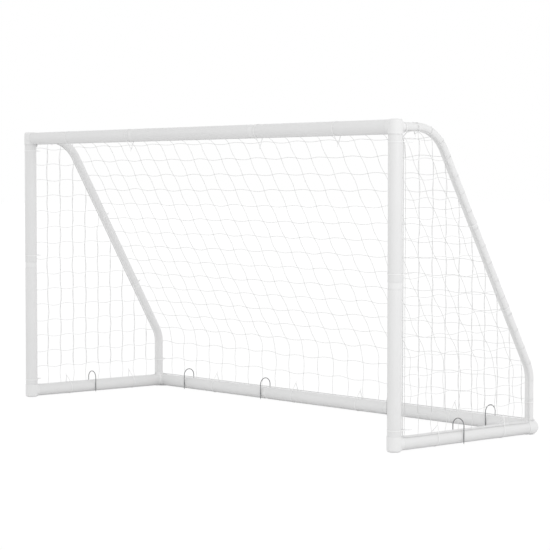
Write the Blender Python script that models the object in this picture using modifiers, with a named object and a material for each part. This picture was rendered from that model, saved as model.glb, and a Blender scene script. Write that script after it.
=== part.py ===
"""Portable soccer goal: a frame of white plastic tubes that plug onto corner fittings and couplers,
a square-mesh net laid round the outside of the frame, cable ties and loose steel ground pegs.

Metres, +Z up. The goal mouth faces -Y and the rear bar is at +Y. X = 0 is the middle of the mouth,
Y = 0 is half-way between the front of the posts and the rearmost peg, and Z = 0 is the floor under
its feet. The ground pegs stand over the bars with their tips just off the floor, ready to be pushed in.
"""

import math

import bmesh
import bpy
from mathutils import Matrix, Vector

# Outside size of the tube frame
goal_width = 3.66
goal_depth = 1.22
goal_height = 1.83

# Main tubes: posts, crossbar, side bars and rear bar
tube_radius = 0.040
tube_wall = 0.003
tube_sides = 24

# Bent side stays
stay_radius = 0.025
stay_wall = 0.0025
stay_bevel_steps = 6
stay_top_share = 0.2746
stay_foot_setback = 0.020
stay_foot_bend_z = 0.337
stay_top_bend_radius = 0.250
stay_foot_bend_radius = 0.200
stay_top_bend_steps = 7
stay_foot_bend_steps = 5
stay_joint_share = 0.394

# Corner fittings and couplers
fit_gap = 0.0003
fitting_radius = 0.0425
fitting_arm = 0.043
rear_fitting_arm = 0.050
fitting_edge = 0.012
fitting_sides = 20
edge_steps = 2
elbow_radius = 0.0435
ball_steps = 8
spigot_length = 0.060
spigot_wall = 0.0035
stay_arm_radius = 0.0275
stay_arm_length = 0.058
stay_spigot_length = 0.045
foot_drop = 0.0445
foot_pad_radius = 0.020
coupler_collar = 0.038
coupler_neck = 0.0015
stay_collar = 0.030
stay_neck = 0.0012

# Net
net_mesh = 0.220
net_columns = 16
net_strand = 0.004
net_border = 0.006
net_thickness = 0.004
net_clearance = 0.0005
net_smallest_gap = 0.030
roof_rope_tilt = math.radians(60)
side_corner_cut = Vector((0.017, 0.092))
roof_rear_z = 1.750
roof_corner_cut = 0.030

# Cable ties
tie_width = 0.005
tie_thickness = 0.0015
tie_clearance = 0.0004
tie_reach = 0.095
tie_arc_points = 11
bar_tie_lean = math.radians(7)
side_tie_lean = math.radians(20)
post_tie_above_foot = 0.076
post_tie_above_joint = 0.065
post_tie_below_crossbar = 0.085

# Places along a bar, as a share of the way from its middle to its corner, or from its front to its rear
crossbar_tie_shares = (-0.7374, -0.3575, 0.3575, 0.7374)
rear_bar_tie_shares = (-0.6480, -0.1760, 0.1760, 0.6480)
side_bar_tie_shares = (0.2763, 0.7588)
side_peg_share = 0.4518
rear_peg_shares = (-0.8184, -0.3464, 0.3464, 0.8184)

# Ground pegs
peg_wire_radius = 0.0028
peg_leg_offset = tube_radius + peg_wire_radius + 0.0005
peg_length = 0.1488
peg_tip_above_floor = 0.0005
peg_crown_steps = 10

# Places that follow from the sizes above. "Rail" is the height of the ground tubes' axes.
half_width = goal_width / 2 - tube_radius
rear_y = goal_depth - 2 * tube_radius
cross_z = goal_height - 2 * tube_radius
stay_top_y = rear_y * stay_top_share
stay_foot_y = rear_y - stay_foot_setback
stay_joint_z = cross_z * stay_joint_share
post_tie_z = (post_tie_above_foot, cross_z / 2 + post_tie_above_joint, cross_z - post_tie_below_crossbar)
rail_z = foot_drop
post_y = -(rear_y + peg_leg_offset + peg_wire_radius - fitting_radius) / 2
# The spigots fit inside the flats of the tubes, which have as many sides as these give.
spigot_radius = (tube_radius - tube_wall) * math.cos(math.pi / tube_sides) - fit_gap
stay_sides = 4 + 2 * stay_bevel_steps
stay_spigot_radius = stay_radius * math.cos(math.pi / stay_sides) - stay_wall - fit_gap
slope = Vector((0.0, stay_foot_y - stay_top_y, stay_foot_bend_z - cross_z)).normalized()
slope_out = Vector((0.0, -slope.z, slope.y))
net_offset = stay_arm_radius + net_clearance + net_thickness / 2

X_AXIS = Vector((1.0, 0.0, 0.0))
Y_AXIS = Vector((0.0, 1.0, 0.0))
Z_AXIS = Vector((0.0, 0.0, 1.0))
SIDES = (("left", -1), ("right", 1))


def place(x, y, z):
    """A point given by its distance behind the posts' axes and above the ground tubes' axes."""
    return Vector((x, post_y + y, rail_z + z))


def turned(direction):
    """Rotation that takes +Z to the direction, with +X kept level where it can be."""
    return direction.to_track_quat("Z", "Y").to_matrix().to_4x4()


for old in list(bpy.data.objects):
    bpy.data.objects.remove(old)

goal = bpy.data.collections.new("portable_soccer_goal")
cutters = bpy.data.collections.new("cutters")
bpy.context.scene.collection.children.link(goal)
bpy.context.scene.collection.children.link(cutters)


def make_material(name, colour, roughness, metallic):
    material = bpy.data.materials.new(name)
    material.use_nodes = True
    shader = material.node_tree.nodes["Principled BSDF"]
    shader.inputs["Base Color"].default_value = (*colour, 1.0)
    shader.inputs["Roughness"].default_value = roughness
    shader.inputs["Metallic"].default_value = metallic
    return material


tube_white = make_material("tube_white", (0.84, 0.84, 0.84), 0.38, 0.0)
fitting_white = make_material("fitting_white", (0.90, 0.90, 0.90), 0.42, 0.0)
net_white = make_material("net_white", (0.86, 0.86, 0.86), 0.85, 0.0)
tie_white = make_material("tie_white", (0.92, 0.92, 0.92), 0.45, 0.0)
peg_steel = make_material("peg_steel", (0.33, 0.33, 0.34), 0.35, 0.9)


def add_object(name, data, material, collection=goal):
    piece = bpy.data.objects.new(name, data)
    collection.objects.link(piece)
    if material is not None:
        data.materials.append(material)
    return piece


def profile_mesh(name, points, closed):
    """A profile in the XZ plane, as a mesh of edges for a Screw modifier."""
    mesh = bpy.data.meshes.new(name)
    edges = [(i, i + 1) for i in range(len(points) - 1)]
    if closed:
        edges.append((len(points) - 1, 0))
    mesh.from_pydata([(r, 0.0, z) for r, z in points], edges, [])
    return mesh


def turned_piece(name, points, closed, sides, origin, direction, material, collection=goal):
    """A profile turned about the direction through the origin."""
    piece = add_object(name, profile_mesh(name, points, closed), material, collection)
    piece.matrix_world = Matrix.Translation(origin) @ turned(direction)
    screw = piece.modifiers.new("turn", "SCREW")
    screw.axis = "Z"
    screw.steps = sides
    screw.render_steps = sides
    screw.use_merge_vertices = True
    screw.merge_threshold = 0.00002
    screw.use_smooth_shade = True
    return piece


def straight_tube(name, start, end, outer, wall, sides):
    length = (end - start).length
    loop = [(outer, length), (outer, 0.0), (outer - wall, 0.0), (outer - wall, length)]
    return turned_piece(name, loop, True, sides, start, (end - start).normalized(), tube_white)


def coupler(name, centre, direction, collar, collar_radius, spigot, length, wall, sides):
    """A collar between two tube ends, with a spigot into each, and a bore right through."""
    half = collar / 2 - fit_gap
    tip = half + length
    bore = spigot - wall
    loop = [(spigot, tip), (spigot, half), (collar_radius, half), (collar_radius, -half),
            (spigot, -half), (spigot, -tip), (bore, -tip), (bore, tip)]
    return turned_piece(name, loop, True, sides, centre, direction, fitting_white)


def arm_profile(body, arm, back, edge, spigot, length):
    """Half section of a fitting's arm: spigot, shoulder, body, and an end rounded past the corner."""
    points = [(0.0, arm + length), (spigot, arm + length), (spigot, arm), (body, arm)]
    if edge == 0.0:
        points.append((body, -back))
    else:
        for i in range(edge_steps + 1):
            turn = i / edge_steps * math.pi / 2
            points.append((body - edge + edge * math.cos(turn), -(back - edge) - edge * math.sin(turn)))
    points.append((0.0, -back))
    return points


def ball_profile(radius):
    turns = [math.pi * (i / ball_steps - 0.5) for i in range(ball_steps + 1)]
    return [(radius * math.cos(turn) if 0 < i < ball_steps else 0.0, radius * math.sin(turn))
            for i, turn in enumerate(turns)]


def boolean(piece, other, operation):
    other.hide_render = True
    other.display_type = "WIRE"
    modifier = piece.modifiers.new(operation.lower(), "BOOLEAN")
    modifier.operation = operation
    modifier.solver = "EXACT"
    modifier.object = other


def cylinder(name, radius, start, direction, length, sides):
    mesh = bpy.data.meshes.new(name)
    shape = bmesh.new()
    bmesh.ops.create_cone(shape, cap_ends=True, segments=sides, radius1=radius, radius2=radius, depth=length)
    bmesh.ops.translate(shape, vec=(0.0, 0.0, length / 2), verts=shape.verts)
    shape.to_mesh(mesh)
    shape.free()
    piece = add_object(name, mesh, None, cutters)
    piece.matrix_world = Matrix.Translation(start) @ turned(direction)
    return piece


def fitting(name, corner, arms, extras=()):
    """Arms joined at the corner and bored from their tips to the middle. Each arm is a direction,
    a body radius and length, how far it runs past the corner and how round it ends there, and its
    spigot's radius and length. The extras are solids joined to the body before it is bored."""
    piece = None
    for number, (direction, body, arm, back, edge, spigot, length) in enumerate(arms):
        points = arm_profile(body, arm, back, edge, spigot, length)
        if piece is None:
            piece = turned_piece(name, points, False, fitting_sides, corner, direction, fitting_white)
        else:
            other = turned_piece(f"{name}_arm_{number}", points, False, fitting_sides, corner, direction,
                                 None, cutters)
            boolean(piece, other, "UNION")
    for extra in extras:
        boolean(piece, extra, "UNION")
    for number, (direction, body, arm, back, edge, spigot, length) in enumerate(arms):
        bore_length = arm + length + fit_gap
        bore = cylinder(f"{name}_bore_{number}", spigot - spigot_wall, corner, direction, bore_length,
                        fitting_sides)
        boolean(piece, bore, "DIFFERENCE")
    return piece


def main_arm(direction, back=fitting_radius, edge=fitting_edge, arm=fitting_arm):
    return (direction, fitting_radius, arm, back, edge, spigot_radius, spigot_length)


def stay_arm(direction, length):
    return (direction, stay_arm_radius, length, 0.0, 0.0, stay_spigot_radius, stay_spigot_length)


def build_crossbar_and_rear_bar():
    """Two bars of three equal tubes each, with a coupler at each joint."""
    for bar, y, z, arm in (("crossbar", 0.0, cross_z, fitting_arm),
                           ("rear_bar", rear_y, 0.0, rear_fitting_arm)):
        joint_x = half_width / 3
        end_x = half_width - arm - fit_gap
        half_collar = coupler_collar / 2
        spans = (("left", -end_x, -joint_x - half_collar),
                 ("middle", -joint_x + half_collar, joint_x - half_collar),
                 ("right", joint_x + half_collar, end_x))
        for part, low, high in spans:
            straight_tube(f"{bar}_{part}", place(low, y, z), place(high, y, z),
                          tube_radius, tube_wall, tube_sides)
        for side, sign in SIDES:
            coupler(f"{bar}_coupler_{side}", place(sign * joint_x, y, z), X_AXIS, coupler_collar,
                    tube_radius - coupler_neck, spigot_radius, spigot_length, spigot_wall, fitting_sides)


def build_posts_and_side_bars():
    for side, sign in SIDES:
        x = sign * half_width
        middle = cross_z / 2
        low = fitting_arm + fit_gap
        rear_end = rear_y - rear_fitting_arm - fit_gap
        half_collar = coupler_collar / 2
        straight_tube(f"post_{side}_lower", place(x, 0.0, low), place(x, 0.0, middle - half_collar),
                      tube_radius, tube_wall, tube_sides)
        straight_tube(f"post_{side}_upper", place(x, 0.0, middle + half_collar), place(x, 0.0, cross_z - low),
                      tube_radius, tube_wall, tube_sides)
        coupler(f"post_coupler_{side}", place(x, 0.0, middle), Z_AXIS, coupler_collar,
                tube_radius - coupler_neck, spigot_radius, spigot_length, spigot_wall, fitting_sides)
        straight_tube(f"side_bar_{side}", place(x, low, 0.0), place(x, rear_end, 0.0),
                      tube_radius, tube_wall, tube_sides)


def build_corners():
    for side, sign in SIDES:
        x = sign * half_width
        inward = -sign * X_AXIS
        fitting(f"top_corner_{side}", place(x, 0.0, cross_z),
                (main_arm(-Z_AXIS), main_arm(inward, back=fitting_edge), stay_arm(Y_AXIS, stay_arm_length)))
        fitting(f"front_corner_{side}", place(x, 0.0, 0.0),
                (main_arm(Z_AXIS, back=foot_drop), main_arm(Y_AXIS, back=fitting_edge)))
        foot = place(x, rear_y, -foot_drop)
        pad = cylinder(f"rear_pad_{side}", foot_pad_radius, foot, Z_AXIS, foot_drop, fitting_sides)
        ball = turned_piece(f"rear_ball_{side}", ball_profile(elbow_radius), False, fitting_sides,
                            place(x, rear_y, 0.0), Z_AXIS, None, cutters)
        socket_start = place(x, stay_foot_y, 0.0)
        points = arm_profile(stay_arm_radius, stay_arm_length, 0.0, 0.0, stay_spigot_radius,
                             stay_spigot_length)
        socket = turned_piece(f"rear_socket_{side}", points, False, fitting_sides, socket_start, Z_AXIS,
                              None, cutters)
        rear = fitting(f"rear_corner_{side}", place(x, rear_y, 0.0),
                       (main_arm(-Y_AXIS, 0.0, 0.0, rear_fitting_arm),
                        main_arm(inward, 0.0, 0.0, rear_fitting_arm)), (ball, pad, socket))
        socket_bore = cylinder(f"rear_socket_bore_{side}", stay_spigot_radius - spigot_wall, socket_start,
                               Z_AXIS, stay_arm_length + stay_spigot_length + fit_gap, fitting_sides)
        boolean(rear, socket_bore, "DIFFERENCE")


def bend_points(before, corner, after, radius, steps):
    """Points along the round bend that replaces a corner of the stay's centre line."""
    run_in = (corner - before).normalized()
    run_out = (after - corner).normalized()
    angle = run_in.angle(run_out)
    reach = radius * math.tan(angle / 2)
    start = corner - run_in * reach
    inside = (run_out - run_in * run_in.dot(run_out)).normalized()
    centre = start + inside * radius
    points = []
    for i in range(steps + 1):
        turn = angle * i / steps
        points.append(centre - inside * radius * math.cos(turn) + run_in * radius * math.sin(turn))
    return points


def bent_tube(name, points, x):
    """A hollow tube along a line in the plane of the stay."""
    curve = bpy.data.curves.new(name, "CURVE")
    curve.dimensions = "3D"
    curve.bevel_depth = stay_radius
    curve.bevel_resolution = stay_bevel_steps
    spline = curve.splines.new("POLY")
    spline.points.add(len(points) - 1)
    for spot, point in zip(spline.points, points):
        spot.co = (*place(x, point.y, point.z), 1.0)
    piece = add_object(name, curve, tube_white)
    shell = piece.modifiers.new("wall", "SOLIDIFY")
    shell.thickness = stay_wall
    shell.offset = -1.0
    shell.use_even_offset = True
    return piece


def stay_line():
    """Corners of the stay's centre line, from the top fitting to the rear fitting."""
    socket_face = stay_arm_length + fit_gap
    return (Vector((0.0, socket_face, cross_z)), Vector((0.0, stay_top_y, cross_z)),
            Vector((0.0, stay_foot_y, stay_foot_bend_z)), Vector((0.0, stay_foot_y, socket_face)))


def stay_point(z):
    """Point on the sloping run of the stay's centre line at that height."""
    return Vector((0.0, stay_top_y + (z - cross_z) * slope.y / slope.z, z))


def build_stays():
    top, knee, heel, foot = stay_line()
    joint = stay_point(stay_joint_z)
    upper = [top, *bend_points(top, knee, heel, stay_top_bend_radius, stay_top_bend_steps),
             joint - slope * stay_collar / 2]
    lower = [joint + slope * stay_collar / 2,
             *bend_points(knee, heel, foot, stay_foot_bend_radius, stay_foot_bend_steps), foot]
    for side, sign in SIDES:
        x = sign * half_width
        bent_tube(f"stay_{side}_upper", upper, x)
        bent_tube(f"stay_{side}_lower", lower, x)
        coupler(f"stay_coupler_{side}", place(x, joint.y, joint.z), -slope, stay_collar,
                stay_radius - stay_neck, stay_spigot_radius, stay_spigot_length, spigot_wall, fitting_sides)


def clip(polygon, point, inward):
    """The part of a convex polygon on the inward side of a line."""
    kept = []
    for i, here in enumerate(polygon):
        there = polygon[(i + 1) % len(polygon)]
        depth_here = (here - point).dot(inward)
        depth_there = (there - point).dot(inward)
        if depth_here >= 0.0:
            kept.append(here)
        if depth_here * depth_there < 0.0:
            kept.append(here + (there - here) * (depth_here / (depth_here - depth_there)))
    return kept


def inner_lines(outline, inset):
    """A point and the inward normal of each edge of a clockwise outline, moved in by the inset."""
    lines = []
    for i, here in enumerate(outline):
        there = outline[(i + 1) % len(outline)]
        edge = (there - here).normalized()
        inward = Vector((edge.y, -edge.x))
        lines.append((here + inward * inset, inward))
    return lines


def polygon_area(polygon):
    return abs(sum(polygon[i - 1].cross(polygon[i]) for i in range(len(polygon)))) / 2


def net_panel(name, outline, first_u, first_v, mesh_u, matrix):
    """A flat lattice: the outline, extruded, with one hole for each mesh gap that it holds."""
    lines = inner_lines(outline, net_border)
    low_u = min(p.x for p in outline)
    high_u = max(p.x for p in outline)
    low_v = min(p.y for p in outline)
    high_v = max(p.y for p in outline)
    half = net_strand / 2
    holes = []
    for i in range(math.floor((low_u - first_u) / mesh_u), math.ceil((high_u - first_u) / mesh_u)):
        for j in range(math.floor((low_v - first_v) / net_mesh), math.ceil((high_v - first_v) / net_mesh)):
            u = first_u + i * mesh_u
            v = first_v + j * net_mesh
            hole = [Vector((u + half, v + half)), Vector((u + half, v + net_mesh - half)),
                    Vector((u + mesh_u - half, v + net_mesh - half)), Vector((u + mesh_u - half, v + half))]
            for point, inward in lines:
                hole = clip(hole, point, inward)
                if len(hole) < 3:
                    break
            if len(hole) >= 3 and polygon_area(hole) > net_smallest_gap ** 2:
                holes.append(hole)
    curve = bpy.data.curves.new(name, "CURVE")
    curve.dimensions = "2D"
    curve.fill_mode = "BOTH"
    curve.extrude = net_thickness / 2
    for polygon in [outline, *holes]:
        spline = curve.splines.new("POLY")
        spline.points.add(len(polygon) - 1)
        spline.use_cyclic_u = True
        for spot, point in zip(spline.points, polygon):
            spot.co = (point.x, point.y, 0.0, 1.0)
    piece = add_object(name, curve, net_white)
    piece.matrix_world = matrix
    weld = piece.modifiers.new("join faces", "WELD")
    weld.merge_threshold = 0.00002
    return piece


def rectangle(low_u, high_u, low_v, high_v):
    """A clockwise rectangle."""
    return [Vector((low_u, low_v)), Vector((low_u, high_v)), Vector((high_u, high_v)),
            Vector((high_u, low_v))]


def side_outline():
    """Edge of a side panel in the YZ plane: beside the post, round the outside of the stay, and
    along the top of the side bar."""
    reach = net_offset + net_thickness / 2
    beside = net_offset - net_thickness / 2
    edge = math.sqrt((fitting_radius + net_clearance) ** 2 - beside ** 2)
    top, knee, heel, foot = stay_line()
    roof = cross_z + reach
    corner_low = Vector((edge, roof - side_corner_cut.y))
    corner_high = corner_low + side_corner_cut
    points = [Vector((edge, edge)), corner_low, corner_high]
    for before, corner, after, radius in ((top, knee, heel, stay_top_bend_radius),
                                          (knee, heel, foot, stay_foot_bend_radius)):
        turn = (corner - before).angle(after - corner)
        steps = max(2, round(turn / math.radians(15)))
        out_in = Vector((0.0, -(corner - before).z, (corner - before).y)).normalized()
        run_in = (corner - before).normalized()
        start = corner - run_in * radius * math.tan(turn / 2)
        centre = start - out_in * radius
        tight = (radius + reach) / math.cos(turn / steps / 2)
        for i in range(steps):
            angle = turn * (i + 0.5) / steps
            spot = centre + out_in * tight * math.cos(angle) + run_in * tight * math.sin(angle)
            points.append(Vector((spot.y, spot.z)))
    points.append(Vector((stay_foot_y + reach, edge)))
    return points, edge


def build_net():
    outline, edge = side_outline()
    for side, sign in SIDES:
        # Local X runs along the goal's depth and local Y up, so the panel stands in the YZ plane.
        matrix = Matrix.Translation(place(sign * (half_width + net_offset), 0.0, 0.0))
        matrix = matrix @ Matrix(((0, 0, 1, 0), (1, 0, 0, 0), (0, 1, 0, 0), (0, 0, 0, 1)))
        net_panel(f"net_{side}", outline, edge, edge + net_border / 2, net_mesh, matrix)

    inner_x = half_width + net_offset - net_thickness / 2 - fit_gap
    roof_x = half_width - stay_arm_radius - net_clearance
    roof_front_x = half_width - fitting_radius - net_clearance
    mesh_x = 2 * inner_x / net_columns
    slope_start = stay_point(roof_rear_z) + slope_out * net_offset
    slope_start = slope_start + slope * (slope_start.z - roof_rear_z) / -slope.z
    rear_plane_y = stay_foot_y + net_offset
    turn = slope.angle(-Z_AXIS)
    heel_z = stay_foot_bend_z + net_offset * math.tan(turn / 2)
    heel_point = Vector((0.0, rear_plane_y, heel_z))
    seam = net_thickness * math.tan(turn / 2) / 2 + fit_gap

    slope_length = (heel_point - slope_start).length
    back_outline = rectangle(-inner_x, inner_x, seam, slope_length - seam)
    matrix = Matrix.Translation(place(0.0, slope_start.y, slope_start.z)) @ axes(X_AXIS, slope)
    net_panel("net_back", back_outline, -inner_x, seam, mesh_x, matrix)

    ride = math.sqrt((fitting_radius + net_clearance) ** 2 - (rear_plane_y - net_thickness / 2 - rear_y) ** 2)
    matrix = Matrix.Translation(place(0.0, rear_plane_y, 0.0)) @ axes(X_AXIS, Z_AXIS)
    lower_outline = rectangle(-inner_x, inner_x, ride, heel_z - seam)
    net_panel("net_back_lower", lower_outline, -inner_x, ride, mesh_x, matrix)

    rope = fitting_radius + net_clearance + net_thickness / 2
    roof_front = Vector((0.0, rope * math.cos(roof_rope_tilt), cross_z - rope * math.sin(roof_rope_tilt)))
    roof_run = slope_start - roof_front
    fold = roof_run.angle(slope)
    roof_seam = net_thickness * math.tan(fold / 2) / 2 + fit_gap
    matrix = Matrix.Translation(place(0.0, roof_front.y, roof_front.z)) @ axes(X_AXIS, roof_run.normalized())
    # The front corners are cut off to pass the upright arms of the top fittings.
    roof_outline = rectangle(-roof_x, roof_x, roof_corner_cut, roof_run.length - roof_seam)
    roof_outline += [Vector((roof_front_x, 0.0)), Vector((-roof_front_x, 0.0))]
    net_panel("net_roof", roof_outline, -inner_x, 0.0, mesh_x, matrix)


def axes(u, v):
    """Rotation whose local X and Y axes are the two given directions."""
    w = u.cross(v)
    return Matrix((u, v, w)).transposed().to_4x4()


def tie_loops(tube):
    """The two edges of a tie: a band round a tube that runs out to a point on the side of the net."""
    inner = tube + tie_clearance
    half_angle = math.asin(inner / tie_reach)
    loops = []
    outer_reach = tie_reach + tie_thickness / math.sin(half_angle)
    for radius, tip in ((inner, tie_reach), (inner + tie_thickness, outer_reach)):
        touch = math.pi / 2 - half_angle
        step = (2 * math.pi - 2 * touch) / (tie_arc_points - 1)
        loop = []
        for i in range(tie_arc_points):
            # The points between the ends stand out a little, so the band's flats clear the tube.
            reach = radius / math.cos(step / 2) if 0 < i < tie_arc_points - 1 else radius
            loop.append((reach * math.cos(touch + step * i), reach * math.sin(touch + step * i)))
        loop.append((tip, 0.0))
        loops.append(loop)
    return loops


def tie(name, tube, direction, along, centre):
    """A cable tie whose point lies in the direction, on a tube that runs along the other axis."""
    curve = bpy.data.curves.new(name, "CURVE")
    curve.dimensions = "2D"
    curve.fill_mode = "BOTH"
    curve.extrude = tie_width / 2
    for loop in tie_loops(tube):
        spline = curve.splines.new("POLY")
        spline.points.add(len(loop) - 1)
        spline.use_cyclic_u = True
        for spot, (u, v) in zip(spline.points, loop):
            spot.co = (u, v, 0.0, 1.0)
    piece = add_object(name, curve, tie_white)
    piece.matrix_world = Matrix.Translation(centre) @ axes(direction, along.cross(direction))
    weld = piece.modifiers.new("join faces", "WELD")
    weld.merge_threshold = 0.00002
    return piece


def leaning(direction, towards, angle):
    return (direction * math.cos(angle) + towards * math.sin(angle)).normalized()


def build_ties():
    down_back = leaning(-Z_AXIS, Y_AXIS, bar_tie_lean)
    for number, share in enumerate(crossbar_tie_shares, start=1):
        tie(f"tie_crossbar_{number}", tube_radius, down_back, X_AXIS, place(share * half_width, 0.0, cross_z))
    up_back = leaning(Z_AXIS, Y_AXIS, bar_tie_lean)
    for number, share in enumerate(rear_bar_tie_shares, start=1):
        tie(f"tie_rear_bar_{number}", tube_radius, up_back, X_AXIS, place(share * half_width, rear_y, 0.0))
    for side, sign in SIDES:
        x = sign * half_width
        back_out = leaning(Y_AXIS, sign * X_AXIS, side_tie_lean)
        for number, z in enumerate(post_tie_z, start=1):
            tie(f"tie_post_{side}_{number}", tube_radius, back_out, Z_AXIS, place(x, 0.0, z))
        up_out = leaning(Z_AXIS, sign * X_AXIS, side_tie_lean)
        for number, share in enumerate(side_bar_tie_shares, start=1):
            tie(f"tie_side_bar_{side}_{number}", tube_radius, up_out, Y_AXIS, place(x, share * rear_y, 0.0))


def peg(name, centre, across):
    """A round steel staple astride a tube, with its origin on the tube's axis."""
    tip_z = peg_tip_above_floor - rail_z
    crown_z = tip_z + peg_length - peg_wire_radius - peg_leg_offset
    line = [Vector((0.0, 0.0, tip_z)) + across * peg_leg_offset]
    for i in range(peg_crown_steps + 1):
        turn = math.pi * i / peg_crown_steps
        rise = crown_z + peg_leg_offset * math.sin(turn)
        line.append(across * peg_leg_offset * math.cos(turn) + Z_AXIS * rise)
    line.append(Vector((0.0, 0.0, tip_z)) - across * peg_leg_offset)
    curve = bpy.data.curves.new(name, "CURVE")
    curve.dimensions = "3D"
    curve.bevel_depth = peg_wire_radius
    curve.bevel_resolution = 2
    curve.use_fill_caps = True
    spline = curve.splines.new("POLY")
    spline.points.add(len(line) - 1)
    for spot, point in zip(spline.points, line):
        spot.co = (*point, 1.0)
    piece = add_object(name, curve, peg_steel)
    piece.location = centre
    weld = piece.modifiers.new("join caps", "WELD")
    weld.merge_threshold = 0.00002
    return piece


def build_pegs():
    for side, sign in SIDES:
        peg(f"peg_side_{side}", place(sign * half_width, side_peg_share * rear_y, 0.0), X_AXIS)
    for number, share in enumerate(rear_peg_shares, start=1):
        peg(f"peg_rear_{number}", place(share * half_width, rear_y, 0.0), Y_AXIS)


build_crossbar_and_rear_bar()
build_posts_and_side_bars()
build_corners()
build_stays()
build_net()
build_ties()
build_pegs()

for piece in goal.objects:
    if piece.type == "MESH":
        piece.data.shade_smooth()
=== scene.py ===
"""Looks of a portable soccer goal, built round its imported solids: white plastic tubes and moulded
fittings, a knotted cord net with rope edges, cable ties and steel ground pegs.

Metres, +Z up. The goal mouth faces -Y, the rear bar is at +Y and the floor is Z = 0. Places are
mostly given as in the solids' source: x from the middle of the mouth, y behind the axes of the
posts and z above the axes of the ground tubes.
"""

import math
from bisect import bisect_right

import bmesh
import bpy
from bpy.props import FloatProperty, FloatVectorProperty, IntProperty, PointerProperty
from mathutils import Euler, Matrix, Vector, noise


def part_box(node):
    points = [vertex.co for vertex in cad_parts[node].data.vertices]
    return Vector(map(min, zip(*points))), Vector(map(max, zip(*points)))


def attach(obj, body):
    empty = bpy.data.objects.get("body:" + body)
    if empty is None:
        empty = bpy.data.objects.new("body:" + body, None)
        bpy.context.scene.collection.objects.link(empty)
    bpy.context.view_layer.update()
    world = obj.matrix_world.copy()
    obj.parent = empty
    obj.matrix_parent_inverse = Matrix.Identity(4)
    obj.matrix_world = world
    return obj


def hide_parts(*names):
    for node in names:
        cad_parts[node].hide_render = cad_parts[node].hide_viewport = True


bl_info = {
    "name": "Portable Soccer Goal",
    "version": (1, 0, 0),
    "blender": (4, 5, 0),
    "location": "View3D > Sidebar > Soccer Goal",
    "description": "Builds the visible pieces of a portable soccer goal round its packed solids",
    "category": "Add Mesh",
}

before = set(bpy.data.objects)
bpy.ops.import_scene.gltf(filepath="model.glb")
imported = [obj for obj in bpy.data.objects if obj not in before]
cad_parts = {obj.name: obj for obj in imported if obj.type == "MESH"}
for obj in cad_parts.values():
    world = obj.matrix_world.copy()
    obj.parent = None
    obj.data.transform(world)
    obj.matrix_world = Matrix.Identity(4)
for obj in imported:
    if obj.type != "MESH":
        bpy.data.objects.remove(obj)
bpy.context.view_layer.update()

X_AXIS = Vector((1.0, 0.0, 0.0))
Y_AXIS = Vector((0.0, 1.0, 0.0))
Z_AXIS = Vector((0.0, 0.0, 1.0))
SIDES = (("left", -1), ("right", 1))
GOAL = "goal"


def middle(node):
    low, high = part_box(node)
    return (low + high) / 2


def span(node):
    low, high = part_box(node)
    return high - low


# Places and sizes that the solids give
front_y = middle("crossbar_middle").y
ground_z = middle("rear_bar_middle").z
half_width = middle("post_right_upper").x
cross_z = middle("crossbar_middle").z - ground_z
rear_y = middle("rear_bar_middle").y - front_y
tube_radius = span("crossbar_middle").z / 2


def place(x, y, z):
    """A point given by its distance behind the posts' axes and above the ground tubes' axes."""
    return Vector((x, front_y + y, ground_z + z))


def real(name, description, default, **limits):
    return FloatProperty(name=name, description=description, default=default, **limits)


def metres(name, description, default):
    return real(name, description, default, min=0.0, unit="LENGTH", precision=5)


def whole(name, description, default, **limits):
    return IntProperty(name=name, description=description, default=default, **limits)


def tint(name, description, default):
    return FloatVectorProperty(name=name, description=description, default=default, size=3, min=0.0, max=1.0,
                               subtype="COLOR")


class GoalTubeSettings(bpy.types.PropertyGroup):
    """Sizes of the tubes, couplers and corner fittings."""
    tube_wall: metres("Tube wall", "Wall of the main tubes", 0.003)
    tube_ease: metres("Tube end rounding", "Rounding of the edges at the ends of a tube", 0.0008)
    tube_steps: whole("Tube steps", "Facets round a tube", 72, min=24)
    stay_radius: metres("Stay radius", "Outside radius of the side stays", 0.025)
    stay_wall: metres("Stay wall", "Wall of the side stays", 0.0025)
    stay_knee_y: metres("Stay knee", "Distance of the stay's upper bend behind the posts", 0.31304)
    stay_foot_y: metres("Stay foot", "Distance of the stay's lower end behind the posts", 1.120)
    stay_heel_z: metres("Stay heel", "Height of the stay's lower bend above the ground tubes", 0.337)
    knee_radius: metres("Knee radius", "Bend radius at the stay's knee", 0.250)
    heel_radius: metres("Heel radius", "Bend radius at the stay's heel", 0.200)
    stay_joint_z: metres("Stay joint", "Height of the joint in the stay", 0.6895)
    fitting_radius: metres("Fitting radius", "Outside radius of a corner fitting's main arms", 0.0425)
    fitting_arm: metres("Fitting arm", "Length of a front or top fitting's main arms", 0.043)
    rear_fitting_arm: metres("Rear fitting arm", "Length of a rear fitting's main arms", 0.050)
    fitting_edge: metres("Fitting edge", "Rounding of the closed end of an upright arm", 0.015)
    stay_arm_radius: metres("Stay arm radius", "Outside radius of a fitting's arm for the stay", 0.0275)
    stay_arm_length: metres("Stay arm", "Length of a fitting's arm for the stay", 0.058)
    elbow_radius: metres("Elbow radius", "Radius of the ball at the rear corners", 0.0435)
    foot_radius: metres("Foot radius", "Radius of the flat foot under a rear corner", 0.020)
    spigot_length: metres("Spigot", "Length of a fitting's spigot inside a main tube", 0.060)
    stay_spigot_length: metres("Stay spigot", "Length of a fitting's spigot inside a stay", 0.045)
    spigot_wall: metres("Spigot wall", "Wall of a spigot", 0.0035)
    collar: metres("Collar", "Width of the collar between two main tubes", 0.038)
    collar_depth: metres("Collar depth", "Depth of the collar below a main tube's face", 0.0015)
    stay_collar: metres("Stay collar", "Width of the collar between a stay's two tubes", 0.030)
    stay_collar_depth: metres("Stay collar depth", "Depth of the collar below a stay's face", 0.0012)
    mould_grain: metres("Mould grain", "Mesh width that the moulded fittings are made with", 0.0016)


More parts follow.
